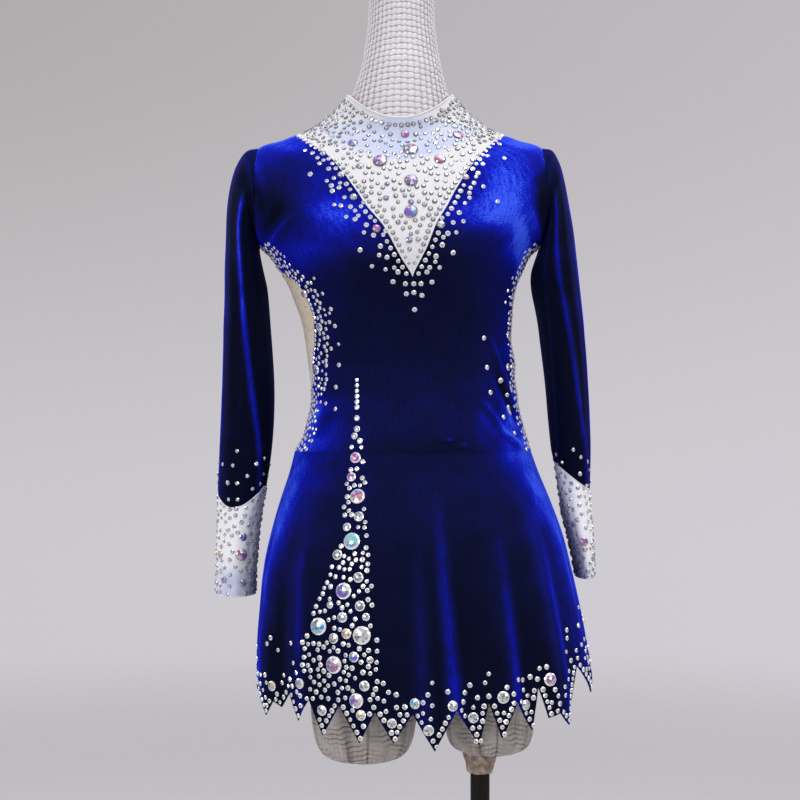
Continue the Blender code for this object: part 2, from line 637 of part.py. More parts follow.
def make_sleeve(side, rings, velvet_end, cuff_rings, velvet, mesh, group):
    right_side = side == "right"
    armhole = armhole_points(right_side)
    count = len(armhole)
    middle = armhole.mean(axis=0)
    armhole_turns = np.unwrap(np.arctan2(armhole[:, 1], middle[2] - armhole[:, 2]))
    armhole_turns -= armhole_turns[0]
    even_turns = np.arange(count) * 2 * math.pi / count
    sections = [armhole]
    for number, ring in enumerate(rings):
        share = (number + 1) / (len(rings) + 1)
        even = min(1.0, share / SHOULDER_SHARE)
        turns = armhole_turns + (even_turns - armhole_turns) * even
        section = sleeve_oval(turns, ring, CUFF_BACKSET * share)
        centre = section.mean(axis=0)
        section += unit(section - centre) * fold_lift(turns, share)[:, None]
        sections.append(section)
    end = sleeve_oval(even_turns, velvet_end, CUFF_BACKSET)
    end[:, 2] -= velvet_end.front_dip * np.maximum(0, -np.sin(even_turns)) ** 1.5
    sections.append(end)
    outer = np.array(sections)
    outward = 1.0 if right_side else -1.0
    inner = outer - VELVET_WALL * tube_normals(outer, outward)
    level = armhole - middle
    level[:, 0] = 0.0
    inner[0] = armhole - VELVET_WALL * unit(level)
    order = slice(None, None, -1)
    if right_side:
        tube("sleeve_right", outer[order], inner[order], velvet, group)
    else:
        tube("sleeve_left", outer, inner, velvet, group)

    top = outer[-1] - np.array([0.0, 0.0, SEAM_GAP])
    cuff = np.array([top] + [sleeve_oval(even_turns, ring, CUFF_BACKSET) for ring in cuff_rings])
    cuff_inner = cuff - MESH_WALL * tube_normals(cuff, outward)
    cuff_inner[0] = top + (inner[-1] - outer[-1]) * MESH_WALL / VELVET_WALL
    if right_side:
        tube("cuff_right", cuff[order], cuff_inner[order], mesh, group)
    else:
        tube("cuff_left", cuff, cuff_inner, mesh, group)


# Skirt

def skirt_column(name, height):
    heights = [ring.height for ring in SKIRT_RINGS]
    rows = np.interp(height, heights, np.arange(len(heights)))
    return smooth_column([getattr(ring, name) for ring in SKIRT_RINGS], rows)


def skirt_point(theta, height):
    # The skirt's outer surface: an oval that widens downwards, with standing folds that grow to the hem
    x, y = oval(theta, *(skirt_column(name, height) for name in ("right", "left", "front", "back")))
    lift = np.zeros_like(x)
    for fold in SKIRT_FOLDS:
        gap = np.angle(np.exp(1j * (theta - math.radians(fold.turn))))
        lift = lift + fold.height * np.exp(-(gap / math.radians(fold.half_width)) ** 2)
    lift = (lift - FOLD_REST) * skirt_column("fullness", height)
    return np.stack([x + lift * np.cos(theta), y + lift * np.sin(theta), height + 0 * x], axis=-1)


def skirt_normal(theta, height):
    step = 1e-3
    across = skirt_point(theta + step, height) - skirt_point(theta - step, height)
    up = skirt_point(theta, height + step) - skirt_point(theta, height - step)
    return unit(np.cross(across, up))


def hem_corners(spikes, first_turn, first_rise):
    # The turn and height of every notch and tip, from the notch at one side seam to the one at the other;
    # a notch lies half way between two tips
    notch_height = HEM_TIP_HEIGHT + SPIKE_LENGTH
    corners = [(first_turn, notch_height + first_rise)]
    for number, spike in enumerate(spikes):
        last = number == len(spikes) - 1
        notch_turn = first_turn + 180 if last else (spike.turn + spikes[number + 1].turn) / 2
        corners.append((spike.turn, HEM_TIP_HEIGHT + spike.tip_rise))
        corners.append((notch_turn, notch_height + spike.notch_rise))
    return np.array(corners).T


def make_skirt(name, spikes, first_turn, first_rise, finish, group):
    # Four columns to a straight-sided spike, with the side seams at notches, and rows drawn up evenly
    corner_turns, corner_heights = hem_corners(spikes, first_turn, first_rise)
    columns = np.arange(2 * len(corner_turns) - 1) / 2
    turns = np.interp(columns, np.arange(len(corner_turns)), corner_turns)
    hem = np.interp(turns, corner_turns, corner_heights)
    theta = np.repeat(np.radians(turns)[None, :], SKIRT_ROWS + 1, axis=0)
    share = np.linspace(0, 1, SKIRT_ROWS + 1)[:, None]
    seam = body_point(theta[0], HIP_SEAM)
    height = hem[None, :] + (seam[:, 2] - HIP_SEAM_GAP - hem)[None, :] * share
    outer = skirt_point(theta, height)
    normals = skirt_normal(theta, height)
    outer[-1] = seam - np.array([0.0, 0.0, HIP_SEAM_GAP])
    normals[-1] = body_normal(theta[0], HIP_SEAM)
    walls = (outer, outer - VELVET_WALL * normals)
    patch(name, *trim(*walls, first=SEAM_GAP / 2, last=SEAM_GAP / 2), finish, group)


# Dress form and stand

def closed_loft(name, rings, finish, group):
    # A solid through rings of points, from bottom to top, with flat ends
    rows, columns = rings.shape[:2]
    index = [[row * columns + j % columns for j in range(columns + 1)] for row in range(rows)]
    faces = grid_faces(index)
    faces.append(list(reversed(index[0][:-1])))
    faces.append(index[-1][:-1])
    return add_mesh(name, rings.reshape(-1, 3), faces, finish, group)


def form_ring(ring, turns):
    x, y = oval(turns, ring.right, ring.left, ring.front, ring.back)
    return np.stack([x, y, np.full_like(x, ring.height)], axis=-1)


def make_form(finish, group, cutters):
    turns = np.arange(FORM_COLUMNS) * 2 * math.pi / FORM_COLUMNS
    rings = [form_ring(ring, turns) for ring in FORM_HIPS]
    for at in range(HIP_SEAM, COLLAR_EDGE + 1):
        inset = VELVET_WALL + float(station_column("ease", at))
        rings.append(body_point(turns, at) - inset * body_normal(turns, at))
    rings += [form_ring(ring, turns) for ring in FORM_NECK]
    form = closed_loft("dress_form", np.array(rings), finish, group)
    stub_turns = np.arange(STUB_COLUMNS) * 2 * math.pi / STUB_COLUMNS
    stubs = (
        ("right_stub", RIGHT_STUB_X, RIGHT_STUB_RINGS),
        ("left_stub", LEFT_STUB_X, LEFT_STUB_RINGS),
    )
    for name, x, stub in stubs:
        sections = []
        for ring in stub:
            side = ring.half_width * np.cos(stub_turns) + x
            deep = ring.half_depth * np.sin(stub_turns) + STUB_SET_BACK
            sections.append(np.stack([side, deep, np.full_like(side, ring.height)], axis=-1))
        solid = closed_loft(name, np.array(sections), finish, cutters)
        join = form.modifiers.new(name, "BOOLEAN")
        join.operation = "UNION"
        join.solver = "EXACT"
        join.object = solid
    return form


def add_turned(name, rings, x, finish, group):
    # A round solid from a cone primitive: bottom and top heights and diameters
    (low, low_diameter), (high, high_diameter) = rings
    shape = bmesh.new()
    bmesh.ops.create_cone(
        shape, cap_ends=True, segments=32,
        radius1=low_diameter / 2, radius2=high_diameter / 2, depth=high - low,
    )
    mesh = bpy.data.meshes.new(name)
    shape.to_mesh(mesh)
    shape.free()
    mesh.materials.append(finish)
    mesh.shade_smooth()
    mesh.set_sharp_from_angle(angle=math.radians(30))
    piece = bpy.data.objects.new(name, mesh)
    piece.location = (x, 0.0, (low + high) / 2)
    group.objects.link(piece)
    return piece


def make_stand(metal, wrap, group):
    base_ends = ((0.0, BASE_DIAMETER), (BASE_THICKNESS, BASE_DIAMETER))
    base = add_turned("base_plate", base_ends, 0.0, metal, group)
    edge = base.modifiers.new("edge", "BEVEL")
    edge.width = BASE_EDGE
    edge.segments = 1
    edge.limit_method = "ANGLE"
    socket_top = LEFT_STUB_RINGS[0].height - STAND_GAP
    socket_end = socket_top - SOCKET_LENGTH
    post_ends = (
        (BASE_THICKNESS + STAND_GAP, POST_DIAMETER),
        (socket_end - STAND_GAP, POST_DIAMETER),
    )
    add_turned("stand_post", post_ends, POST_X, metal, group)
    socket_ends = ((socket_end, SOCKET_END_DIAMETER), (socket_top, SOCKET_TOP_DIAMETER))
    add_turned("post_socket", socket_ends, POST_X, wrap, group)


# Large set stones

def raise_stones(group, cutters):
    # Each stone is a low frustum joined to its panel's outer side, where a line from the front meets it
    for piece in group.objects:
        stones = [stone for stone in STONES if stone.piece == piece.name]
        if not stones:
            continue
        panel = bmesh.new()
        panel.from_mesh(piece.data)
        seats = BVHTree.FromBMesh(panel)
        shape = bmesh.new()
        for stone in stones:
            seat, normal = seats.ray_cast(Vector((stone.x, -1.0, stone.z)), Vector((0.0, 1.0, 0.0)))[:2]
            rise = stone.diameter * STONE_RISE
            depth = rise + STONE_SINK
            turn = normal.to_track_quat("Z", "Y").to_matrix().to_4x4()
            place = Matrix.Translation(seat + normal * (depth / 2 - STONE_SINK)) @ turn
            bmesh.ops.create_cone(
                shape, cap_ends=True, segments=STONE_SIDES, matrix=place,
                radius1=stone.diameter / 2, radius2=stone.diameter / 2 * STONE_TABLE, depth=depth,
            )
        mesh = bpy.data.meshes.new(piece.name + "_stones")
        shape.to_mesh(mesh)
        shape.free()
        panel.free()
        solid = bpy.data.objects.new(piece.name + "_stones", mesh)
        cutters.objects.link(solid)
        join = piece.modifiers.new("stones", "BOOLEAN")
        join.operation = "UNION"
        join.solver = "EXACT"
        join.object = solid


def main():
    clear_scene()
    group = make_collection(OBJECT_NAME)
    cutters = make_collection(OBJECT_NAME + "_cutters")
    velvet = {
        name: make_finish("royal blue stretch velvet, " + name, (0.010, 0.014, 0.250), 0.55)
        for name in ("front", "back", "right sleeve", "left sleeve", "skirt front", "skirt back")
    }
    mesh = {
        name: make_finish("ivory fine mesh, " + name, (0.78, 0.77, 0.80), 0.75)
        for name in ("front yoke", "back yokes", "collar", "inserts", "right cuff", "left cuff")
    }
    make_front(velvet["front"], group)
    make_back(velvet["back"], group)
    make_front_yoke(mesh["front yoke"], group)
    make_back_yokes(mesh["back yokes"], group)
    make_collar(mesh["collar"], group)
    make_inserts(mesh["inserts"], group)
    make_sleeve("right", RIGHT_SLEEVE_RINGS, RIGHT_VELVET_END, RIGHT_CUFF_RINGS,
                velvet["right sleeve"], mesh["right cuff"], group)
    make_sleeve("left", LEFT_SLEEVE_RINGS, LEFT_VELVET_END, LEFT_CUFF_RINGS,
                velvet["left sleeve"], mesh["left cuff"], group)
    make_skirt("skirt_front", FRONT_SPIKES, 180, RIGHT_SEAM_RISE, velvet["skirt front"], group)
    make_skirt("skirt_back", BACK_SPIKES, 0, LEFT_SEAM_RISE, velvet["skirt back"], group)
    make_form(make_finish("white knitted net over foam", (0.80, 0.79, 0.80), 0.85), group, cutters)
    metal = make_finish("dark brown painted steel", (0.030, 0.020, 0.018), 0.35, 0.6)
    wrap = make_finish("tan moulded socket", (0.32, 0.20, 0.12), 0.6)
    make_stand(metal, wrap, group)
    raise_stones(group, cutters)
    for solid in cutters.objects:
        solid.hide_render = True
        solid.display_type = "WIRE"


main()
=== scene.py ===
# An ice skating dress on a limbless dress form: stretch velvet with a fine mesh yoke, collar, waist inserts
# and cuffs, set stones, the knitted net over the form, and the stand.
# Metres, +Z up. The wearer faces -Y, and the wearer's right side is at -X.
import math
from collections import namedtuple

import bmesh
import bpy
import numpy as np
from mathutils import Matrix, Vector
from mathutils.bvhtree import BVHTree


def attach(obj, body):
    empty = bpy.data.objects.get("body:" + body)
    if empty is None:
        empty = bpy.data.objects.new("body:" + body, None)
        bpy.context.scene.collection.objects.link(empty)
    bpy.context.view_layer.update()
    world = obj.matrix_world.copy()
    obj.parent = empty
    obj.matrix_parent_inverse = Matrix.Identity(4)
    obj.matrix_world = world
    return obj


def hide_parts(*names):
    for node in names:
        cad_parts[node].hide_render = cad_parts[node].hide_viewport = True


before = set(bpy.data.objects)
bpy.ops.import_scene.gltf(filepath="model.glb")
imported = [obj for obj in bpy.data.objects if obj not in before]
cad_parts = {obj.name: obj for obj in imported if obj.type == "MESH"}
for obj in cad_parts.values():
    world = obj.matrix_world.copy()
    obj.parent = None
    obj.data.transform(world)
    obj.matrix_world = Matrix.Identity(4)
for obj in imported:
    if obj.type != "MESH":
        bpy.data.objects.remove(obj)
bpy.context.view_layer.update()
print("frame loaded:", len(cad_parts), "solids")

tau = 2 * math.pi


# Small helpers for curves and surfaces

def unit(vectors):
    return vectors / np.maximum(np.linalg.norm(vectors, axis=-1, keepdims=True), 1e-12)


def smoothRows(values, at):
    # Catmull-Rom: a cubic between two rows whose slopes are half the step between the rows on either side
    values = np.asarray(values, dtype=float)
    at = np.clip(np.asarray(at, dtype=float), 0.0, len(values) - 1.0)
    row = np.minimum(np.floor(at).astype(int), len(values) - 2)
    part = (at - row).reshape(at.shape + (1,) * (values.ndim - 1))
    before = values[np.maximum(row - 1, 0)]
    start = values[row]
    end = values[row + 1]
    after = values[np.minimum(row + 2, len(values) - 1)]
    bend = 2 * before - 5 * start + 4 * end - after
    twist = 3 * start - before - 3 * end + after
    return start + 0.5 * part * (end - before + part * (bend + part * twist))


def tableColumn(cut, name, at):
    # One named column of a cut's table, read smoothly at fractional rows
    place = cut["columns"].split().index(name)
    return smoothRows([row[place] for row in cut["rows"]], at)


def oval(theta, right, left, front, back, swell=0.06):
    # x = middle + half width times cos, y = depth times sin, both swollen a little at the corners
    c = np.cos(theta)
    s = np.sin(theta)
    depth = np.where(s < 0, -front, back)
    x = (right + left) / 2 + (left - right) / 2 * c * (1 + swell * s * s)
    y = depth * s * (1 + swell * c * c)
    return x, y


def bump(distance, width):
    # A bell curve: 1 at the middle, falling to 0 over about twice its width
    return np.exp(-(distance / width) ** 2)


def turnGap(theta, centre):
    # The signed turn from centre to theta, in radians
    return np.angle(np.exp(1j * (theta - centre)))


def turnBump(theta, centre, width):
    # A bell curve round a ring, with its middle and its width in degrees
    return bump(turnGap(theta, np.radians(centre)), math.radians(width))


def surfaceNormal(point, theta, rise, step=1e-3):
    # Across the surface crossed with up it, each from a short step to either side
    across = point(theta + step, rise) - point(theta - step, rise)
    up = point(theta, rise + step) - point(theta, rise - step)
    return unit(np.cross(across, up))


# The fitted body, from the dropped hip seam up to the collar's edge

bodyCut = {
    # heights of the sides, front and back; right and left edges; front and back depths; turns of the V's two
    # edges in degrees; half angle of the mesh insert; how far inside it the form lies
    "columns": "side front back right left chest spine veeRight veeLeft insert ease",
    "rows": [
        (0.967, 0.97, 0.97, -0.131, 0.163, -0.103, 0.112, 274.5, 274.5, 0, 0.001),
        (0.985, 0.987, 0.987, -0.12, 0.157, -0.101, 0.111, 274.5, 274.5, 0, 0.001),
        (1.014, 1.014, 1.014, -0.113, 0.149, -0.095, 0.104, 274.5, 274.5, 0, 0.001),
        (1.033, 1.033, 1.033, -0.11, 0.146, -0.091, 0.099, 274.5, 274.5, 0, 0.0022),
        (1.055, 1.055, 1.055, -0.112, 0.143, -0.088, 0.093, 274.5, 274.5, 13, 0.0022),
        (1.078, 1.078, 1.078, -0.115, 0.143, -0.086, 0.088, 274.5, 274.5, 17.5, 0.0014),
        (1.102, 1.102, 1.102, -0.118, 0.139, -0.088, 0.087, 274.5, 274.5, 21, 0.001),
        (1.128, 1.128, 1.128, -0.123, 0.14, -0.093, 0.088, 274.5, 274.5, 24, 0.001),
        (1.153, 1.153, 1.153, -0.132, 0.142, -0.099, 0.091, 274.5, 274.5, 24, 0.001),
        (1.173, 1.173, 1.173, -0.14, 0.146, -0.103, 0.093, 274.5, 274.5, 19, 0.0036),
        (1.195, 1.195, 1.195, -0.1525, 0.1545, -0.107, 0.096, 270.3, 278.5, 0, 0.0036),
        (1.209, 1.209, 1.209, -0.162, 0.162, -0.108, 0.098, 268.0, 280.8, 0, 0.003),
        (1.2225, 1.2225, 1.2225, -0.176, 0.176, -0.108, 0.099, 266.0, 281.6, 0, 0.0036),
        (1.25, 1.237, 1.24, -0.193, 0.193, -0.106, 0.1, 263.8, 282.3, 0, 0.005),
        (1.282, 1.256, 1.264, -0.203, 0.203, -0.103, 0.101, 259.6, 285.0, 0, 0.008),
        (1.318, 1.277, 1.291, -0.196, 0.196, -0.098, 0.101, 255.0, 289.2, 0, 0.005),
        (1.3435, 1.296, 1.314, -0.176, 0.176, -0.091, 0.099, 247.9, 296.5, 0, 0.0032),
        (1.352, 1.311, 1.331, -0.15, 0.15, -0.084, 0.095, 236.2, 309.4, 0, 0.0045),
        (1.357, 1.319, 1.341, -0.137, 0.137, -0.08, 0.091, 217.0, 326.0, 0, 0.0042),
        (1.3616, 1.326, 1.35, -0.122, 0.122, -0.075, 0.086, 180.0, 360.0, 0, 0.0038),
        (1.374, 1.336, 1.366, -0.101, 0.102, -0.068, 0.076, 180.0, 360.0, 0, 0.001),
        (1.39, 1.346, 1.383, -0.0815, 0.083, -0.06, 0.064, 180.0, 360.0, 0, 0.001),
        (1.4, 1.358, 1.398, -0.073, 0.0745, -0.058, 0.062, 180.0, 360.0, 0, 0.0032),
        (1.4095, 1.371, 1.413, -0.066, 0.0665, -0.059, 0.064, 180.0, 360.0, 0, 0.0036),
    ],
    "hipSeam": 0, "insertLow": 3, "insertWidest": 7, "veeTip": 9, "insertHigh": 10, "underarm": 12,
    "shoulderPoint": 16, "neckPoint": 19, "neckSeam": 21, "collarEdge": 23,
    "armholeX": 0.176,
    "turnSteps": 1441,
    "insertFrontShare": {"right": 1.33, "left": 0.45},
    "bustX": 0.070, "bustZ": 1.212, "bustWidth": 0.055, "bustHeight": 0.050, "bustSwell": 0.014,
    "seam": 0.0003,
    "walls": {"velvet": 0.0015, "fine_mesh": 0.0010},
}

bodyCreases = {
    # soft ridges (+) and troughs (-) pulled into the velvet: side, from x z, to x z, width, lift
    "fullShare": 1.15,
    "rows": [
        ("front", -0.16, 1.216, -0.128, 1.248, 0.003, 0.0034),
        ("front", -0.168, 1.228, -0.138, 1.262, 0.006, -0.002),
        ("front", -0.182, 1.326, -0.158, 1.276, 0.0045, 0.0022),
        ("front", -0.174, 1.288, -0.16, 1.252, 0.006, -0.0018),
        ("front", 0.153, 1.262, 0.172, 1.22, 0.0045, 0.0028),
        ("front", 0.146, 1.25, 0.166, 1.212, 0.006, -0.0018),
        ("front", 0.18, 1.324, 0.16, 1.292, 0.0045, 0.002),
        ("front", 0.107, 1.108, 0.138, 1.026, 0.0026, 0.003),
        ("front", 0.112, 1.066, 0.146, 0.996, 0.005, -0.0034),
        ("front", 0.098, 1.03, 0.125, 0.99, 0.0026, 0.0036),
        ("front", 0.122, 0.993, 0.147, 0.973, 0.0028, 0.0042),
        ("front", 0.09, 1.018, 0.116, 0.978, 0.006, 0.001),
        ("front", -0.088, 1.026, -0.116, 0.986, 0.007, 0.0024),
        ("front", -0.078, 1.014, -0.1, 0.978, 0.007, -0.0016),
        ("front", -0.096, 1.1, -0.108, 1.06, 0.006, 0.0018),
        ("front", 0.052, 0.983, 0.062, 0.981, 0.0014, 0.0026),
        ("front", 0.073, 0.977, 0.077, 0.973, 0.0026, 0.003),
        ("front", -0.02, 1.19, 0.045, 1.196, 0.011, -0.0012),
        ("back", -0.168, 1.216, -0.126, 1.262, 0.0055, 0.0026),
        ("back", 0.166, 1.214, 0.13, 1.258, 0.0055, 0.0028),
        ("back", -0.06, 1.072, -0.098, 1.046, 0.007, 0.0022),
        ("back", 0.058, 1.078, 0.118, 1.05, 0.007, 0.0026),
        ("back", -0.03, 1.048, -0.096, 1.02, 0.007, -0.0018),
        ("back", 0.04, 1.052, 0.116, 1.022, 0.0065, 0.002),
        ("back", 0.02, 1.02, 0.094, 0.99, 0.0065, -0.0016),
        ("back", 0.012, 1.3, 0.016, 1.12, 0.016, -0.002),
    ],
}


paintedBodyLight = {
    # painted highlights (+) and painted shade (-) on the velvet: side, middle x z, reach in x and z, amount
    "rows": [
        ("front", -0.128, 1.326, 0.044, 0.018, -0.04), ("front", -0.086, 1.268, 0.034, 0.04, 0.27),
        ("front", -0.072, 1.246, 0.046, 0.02, 0.38), ("front", -0.104, 1.21, 0.044, 0.024, 0.3),
        ("front", -0.04, 1.216, 0.044, 0.018, 0.26), ("front", -0.15, 1.262, 0.014, 0.03, -0.1),
        ("front", 0.13, 1.3, 0.04, 0.034, 0.4), ("front", 0.122, 1.27, 0.044, 0.034, 0.32),
        ("front", 0.106, 1.25, 0.052, 0.022, 0.56), ("front", 0.145, 1.222, 0.02, 0.034, 0.62),
        ("front", 0.07, 1.212, 0.04, 0.016, 0.14), ("front", 0.0, 1.07, 0.105, 0.115, 0.085),
        ("front", 0.1, 1.0, 0.012, 0.026, 0.16), ("front", 0.13, 1.0, 0.014, 0.026, 0.3),
        ("front", 0.136, 0.966, 0.024, 0.016, 0.26), ("front", -0.096, 0.998, 0.03, 0.032, 0.24),
        ("front", 0.136, 1.15, 0.012, 0.05, -0.14),
        ("front", 0.172, 1.262, 0.008, 0.056, -0.5),
        ("back", -0.1, 1.28, 0.046, 0.05, 0.3), ("back", 0.104, 1.262, 0.034, 0.056, 0.22),
        ("back", 0.02, 1.2, 0.06, 0.04, 0.08), ("back", 0.1, 1.006, 0.034, 0.04, 0.22),
        ("back", -0.09, 1.01, 0.034, 0.044, 0.26), ("back", 0.0, 1.09, 0.08, 0.1, 0.08),
    ],
    # the same round the hips, on the skirt as well: turn, height, reach round in degrees, reach up, amount
    "hips": [
        (335, 0.924, 13, 0.048, 0.44), (346, 0.85, 8, 0.05, 0.16), (206, 0.928, 13, 0.046, 0.36),
        (206, 0.87, 8, 0.04, 0.2), (232, 0.95, 12, 0.03, 0.06), (150, 0.9, 14, 0.06, 0.2),
        (40, 0.9, 14, 0.06, 0.2), (90, 0.93, 16, 0.03, 0.08),
    ],
    # painted highlight along each crease's crest and painted shade along each trough, for each metre of lift
    "crestLight": 62.0,
}


def onSide(theta, side):
    # True on the named half of a ring, front or back
    return (np.sin(theta) < 0) == (side == "front")


def creaseLift(points, theta):
    # Each crease is a bell curve of the distance from its line, faded to nothing at its two ends
    lift = np.zeros(points.shape[:-1])
    flat = points[..., [0, 2]]
    for side, x0, z0, x1, z1, width, height in bodyCreases["rows"]:
        start = np.array([x0, z0])
        run = np.array([x1, z1]) - start
        along = np.clip(((flat - start) @ run) / np.hypot(*run) ** 2, 0, 1)
        distance = np.linalg.norm(flat - start - along[..., None] * run, axis=-1)
        taper = np.clip(bodyCreases["fullShare"] - np.abs(2 * along - 1) ** 2, 0, 1)
        lift += onSide(theta, side) * height * bump(distance, width) * taper
    return lift


def paintBodyLight(points, theta):
    # Bell curves of painted highlight and painted shade, and a painted highlight along the crest of each
    # crease (painted shade along a trough)
    amount = np.zeros(theta.shape)
    x = points[..., 0]
    z = points[..., 2]
    for side, middleX, middleZ, reachX, reachZ, strength in paintedBodyLight["rows"]:
        amount += onSide(theta, side) * strength * bump(x - middleX, reachX) * bump(z - middleZ, reachZ)
    for turn, height, width, reach, strength in paintedBodyLight["hips"]:
        amount += strength * turnBump(theta, turn, width) * bump(z - height, reach)
    return amount + paintedBodyLight["crestLight"] * creaseLift(points, theta)


def bodyPoint(theta, at):
    # An oval ring at each station; its height runs between the side's and the front's or back's with sin
    # squared, and two bell curves at the front make the bust line's swell
    theta, at = np.broadcast_arrays(np.asarray(theta, dtype=float), np.asarray(at, dtype=float))
    cut = bodyCut
    x, y = oval(theta, *(tableColumn(cut, name, at) for name in ("right", "left", "chest", "spine")))
    sine = np.sin(theta)
    sideShare = np.cos(theta) ** 2
    ends = np.where(sine < 0, tableColumn(cut, "front", at), tableColumn(cut, "back", at))
    z = tableColumn(cut, "side", at) * sideShare + ends * (1 - sideShare)
    busts = bump(x + cut["bustX"], cut["bustWidth"]) + bump(x - cut["bustX"], cut["bustWidth"])
    swell = cut["bustSwell"] * np.maximum(-sine, 0) * busts * bump(z - cut["bustZ"], cut["bustHeight"])
    return np.stack([x, y - swell, z], axis=-1)


def bodyNormal(theta, at):
    return surfaceNormal(bodyPoint, theta, at)


def velvetPoint(theta, at):
    # The body's surface moved along its normal by its creases
    points = bodyPoint(theta, at)
    return points + bodyNormal(theta, at) * creaseLift(points, theta)[..., None]


def ringTurn(at, x, front):
    # The turn at which a ring's front or back half crosses x, or its side where it doesn't reach it
    turns = np.linspace(math.pi, tau if front else 0.0, bodyCut["turnSteps"])
    return float(np.interp(x, bodyPoint(turns, at)[:, 0], turns))


def insertTurn(at):
    # Half the turn that the waist inserts take, which is nothing above and below them
    if not bodyCut["insertLow"] < at < bodyCut["insertHigh"]:
        return 0.0
    return math.radians(float(tableColumn(bodyCut, "insert", at)))


def frontEdges(at):
    # The front's right and left edges: the armhole's, or the waist insert's where that reaches further
    share = bodyCut["insertFrontShare"]
    right = max(ringTurn(at, -bodyCut["armholeX"], True), math.pi + share["right"] * insertTurn(at))
    left = min(ringTurn(at, bodyCut["armholeX"], True), tau - share["left"] * insertTurn(at))
    return right, left


def backEdges(at):
    # The back's left and right edges in the same way; each insert is twice its half turn wide
    share = bodyCut["insertFrontShare"]
    left = max(ringTurn(at, bodyCut["armholeX"], False), (2 - share["left"]) * insertTurn(at))
    right = min(ringTurn(at, -bodyCut["armholeX"], False), math.pi - (2 - share["right"]) * insertTurn(at))
    return left, right


def veeEdges(at):
    # The neckline's right and left edges, which are the sides above the neck point
    if at >= bodyCut["neckPoint"]:
        return math.pi, tau
    return tuple(math.radians(float(tableColumn(bodyCut, name, at))) for name in ("veeRight", "veeLeft"))


def stationSteps(first, last, rows):
    # Even steps along the stations, crowded at the armhole's lowest and highest points
    share = np.linspace(0, 1, rows, endpoint=False)
    steps = []
    for station in range(first, last):
        part = share
        if station == bodyCut["underarm"]:
            part = share ** 2
        if station == bodyCut["shoulderPoint"] - 1:
            part = 1 - (1 - share) ** 2
        steps += list(station + part)
    return np.array(steps + [float(last)])


def bodyGrid(steps, edges, columns):
    # Turns and stations for a patch: evenly spaced columns between its two edges at each step
    share = np.linspace(0, 1, columns + 1)
    theta = np.array([first + (last - first) * share for first, last in (edges(at) for at in steps)])
    return theta, np.repeat(steps[:, None], columns + 1, axis=1)


# Meshes

clothLook = {
    "weldWithin": 2e-6,
    "dropShorter": 1e-6,
    "crispFrom": 50,
}


def pointNumbers(rows, columns):
    return np.arange(rows * columns).reshape(rows, columns)


def closeRound(grid):
    # Repeats a grid's first column after its last
    return np.concatenate([grid, grid[:, :1]], axis=1)


def gridQuads(numbers):
    # The quads between neighbouring points of a grid, from its point numbers
    corners = (numbers[:-1, :-1], numbers[:-1, 1:], numbers[1:, 1:], numbers[1:, :-1])
    return np.stack(corners, axis=-1).reshape(-1, 4).tolist()


def tubeFaces(rows, columns):
    # Quads round a tube of closed rings, and one face over each end
    numbers = pointNumbers(rows, columns)
    return gridQuads(closeRound(numbers)) + [numbers[0, ::-1].tolist(), numbers[-1].tolist()]


def makeMesh(name, points, faces, uv=None):
    mesh = bpy.data.meshes.new(name)
    mesh.from_pydata(points.reshape(-1, 3).tolist(), [], faces)
    if uv is not None:
        corners = np.zeros(len(mesh.loops), dtype=np.int32)
        mesh.loops.foreach_get("vertex_index", corners)
        layer = mesh.uv_layers.new(name="cloth")
        layer.data.foreach_set("uv", uv.reshape(-1, 2)[corners].astype(np.float32).ravel())
    return mesh


def setMeasure(mesh, name, domain, values):
    # One number for each point or face, which a finish reads by its name
    measure = mesh.attributes.new(name, "FLOAT", domain)
    measure.data.foreach_set("value", np.asarray(values, dtype=np.float32).ravel())


def finishPiece(mesh, finish, replaced=(), smooth=True):
    mesh.materials.append(finish)
    mesh.polygons.foreach_set("use_smooth", np.full(len(mesh.polygons), smooth))
    mesh.update()
    piece = bpy.data.objects.new(mesh.name, mesh)
    bpy.context.scene.collection.objects.link(piece)
    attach(piece, "root")
    if replaced:
        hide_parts(*replaced)
    return piece


def gridArea(points):
    # Half the cross products of each quad's diagonals
    across = points[1:, 1:] - points[:-1, :-1]
    down = points[1:, :-1] - points[:-1, 1:]
    return float(np.linalg.norm(np.cross(across, down), axis=-1).sum() / 2)


# each point of a patch carries its painted highlight or painted shade, which the velvet's finish reads
Patch = namedtuple("Patch", "points uv lie")


def clothPiece(name, patches, finish, slot, replaced, weld=False):
    # A thin shell: grids of outer points, joined where they meet, thickened inwards, with crisp edges
    points = np.concatenate([patch.points.reshape(-1, 3) for patch in patches])
    uvs = np.concatenate([patch.uv.reshape(-1, 2) for patch in patches])
    faces = []
    start = 0
    for patch in patches:
        rows, columns = patch.points.shape[:2]
        faces += gridQuads(pointNumbers(rows, columns) + start)
        start += rows * columns
    mesh = makeMesh(name, points, faces, uvs)
    # each point's painted highlight or painted shade
    setMeasure(mesh, "lie", "POINT", np.concatenate([np.ravel(patch.lie) for patch in patches]))
    shape = bmesh.new()
    shape.from_mesh(mesh)
    if weld:
        bmesh.ops.remove_doubles(shape, verts=shape.verts, dist=clothLook["weldWithin"])
    bmesh.ops.dissolve_degenerate(shape, edges=shape.edges, dist=clothLook["dropShorter"])
    shape.to_mesh(mesh)
    shape.free()
    piece = finishPiece(mesh, finish, replaced)
    thicken = piece.modifiers.new("wall", "SOLIDIFY")
    thicken.thickness = bodyCut["walls"][slot]
    thicken.offset = -1.0
    shell = bpy.data.meshes.new_from_object(piece.evaluated_get(bpy.context.evaluated_depsgraph_get()))
    piece.modifiers.clear()
    piece.data = shell
    shell.set_sharp_from_angle(angle=math.radians(clothLook["crispFrom"]))
    return piece


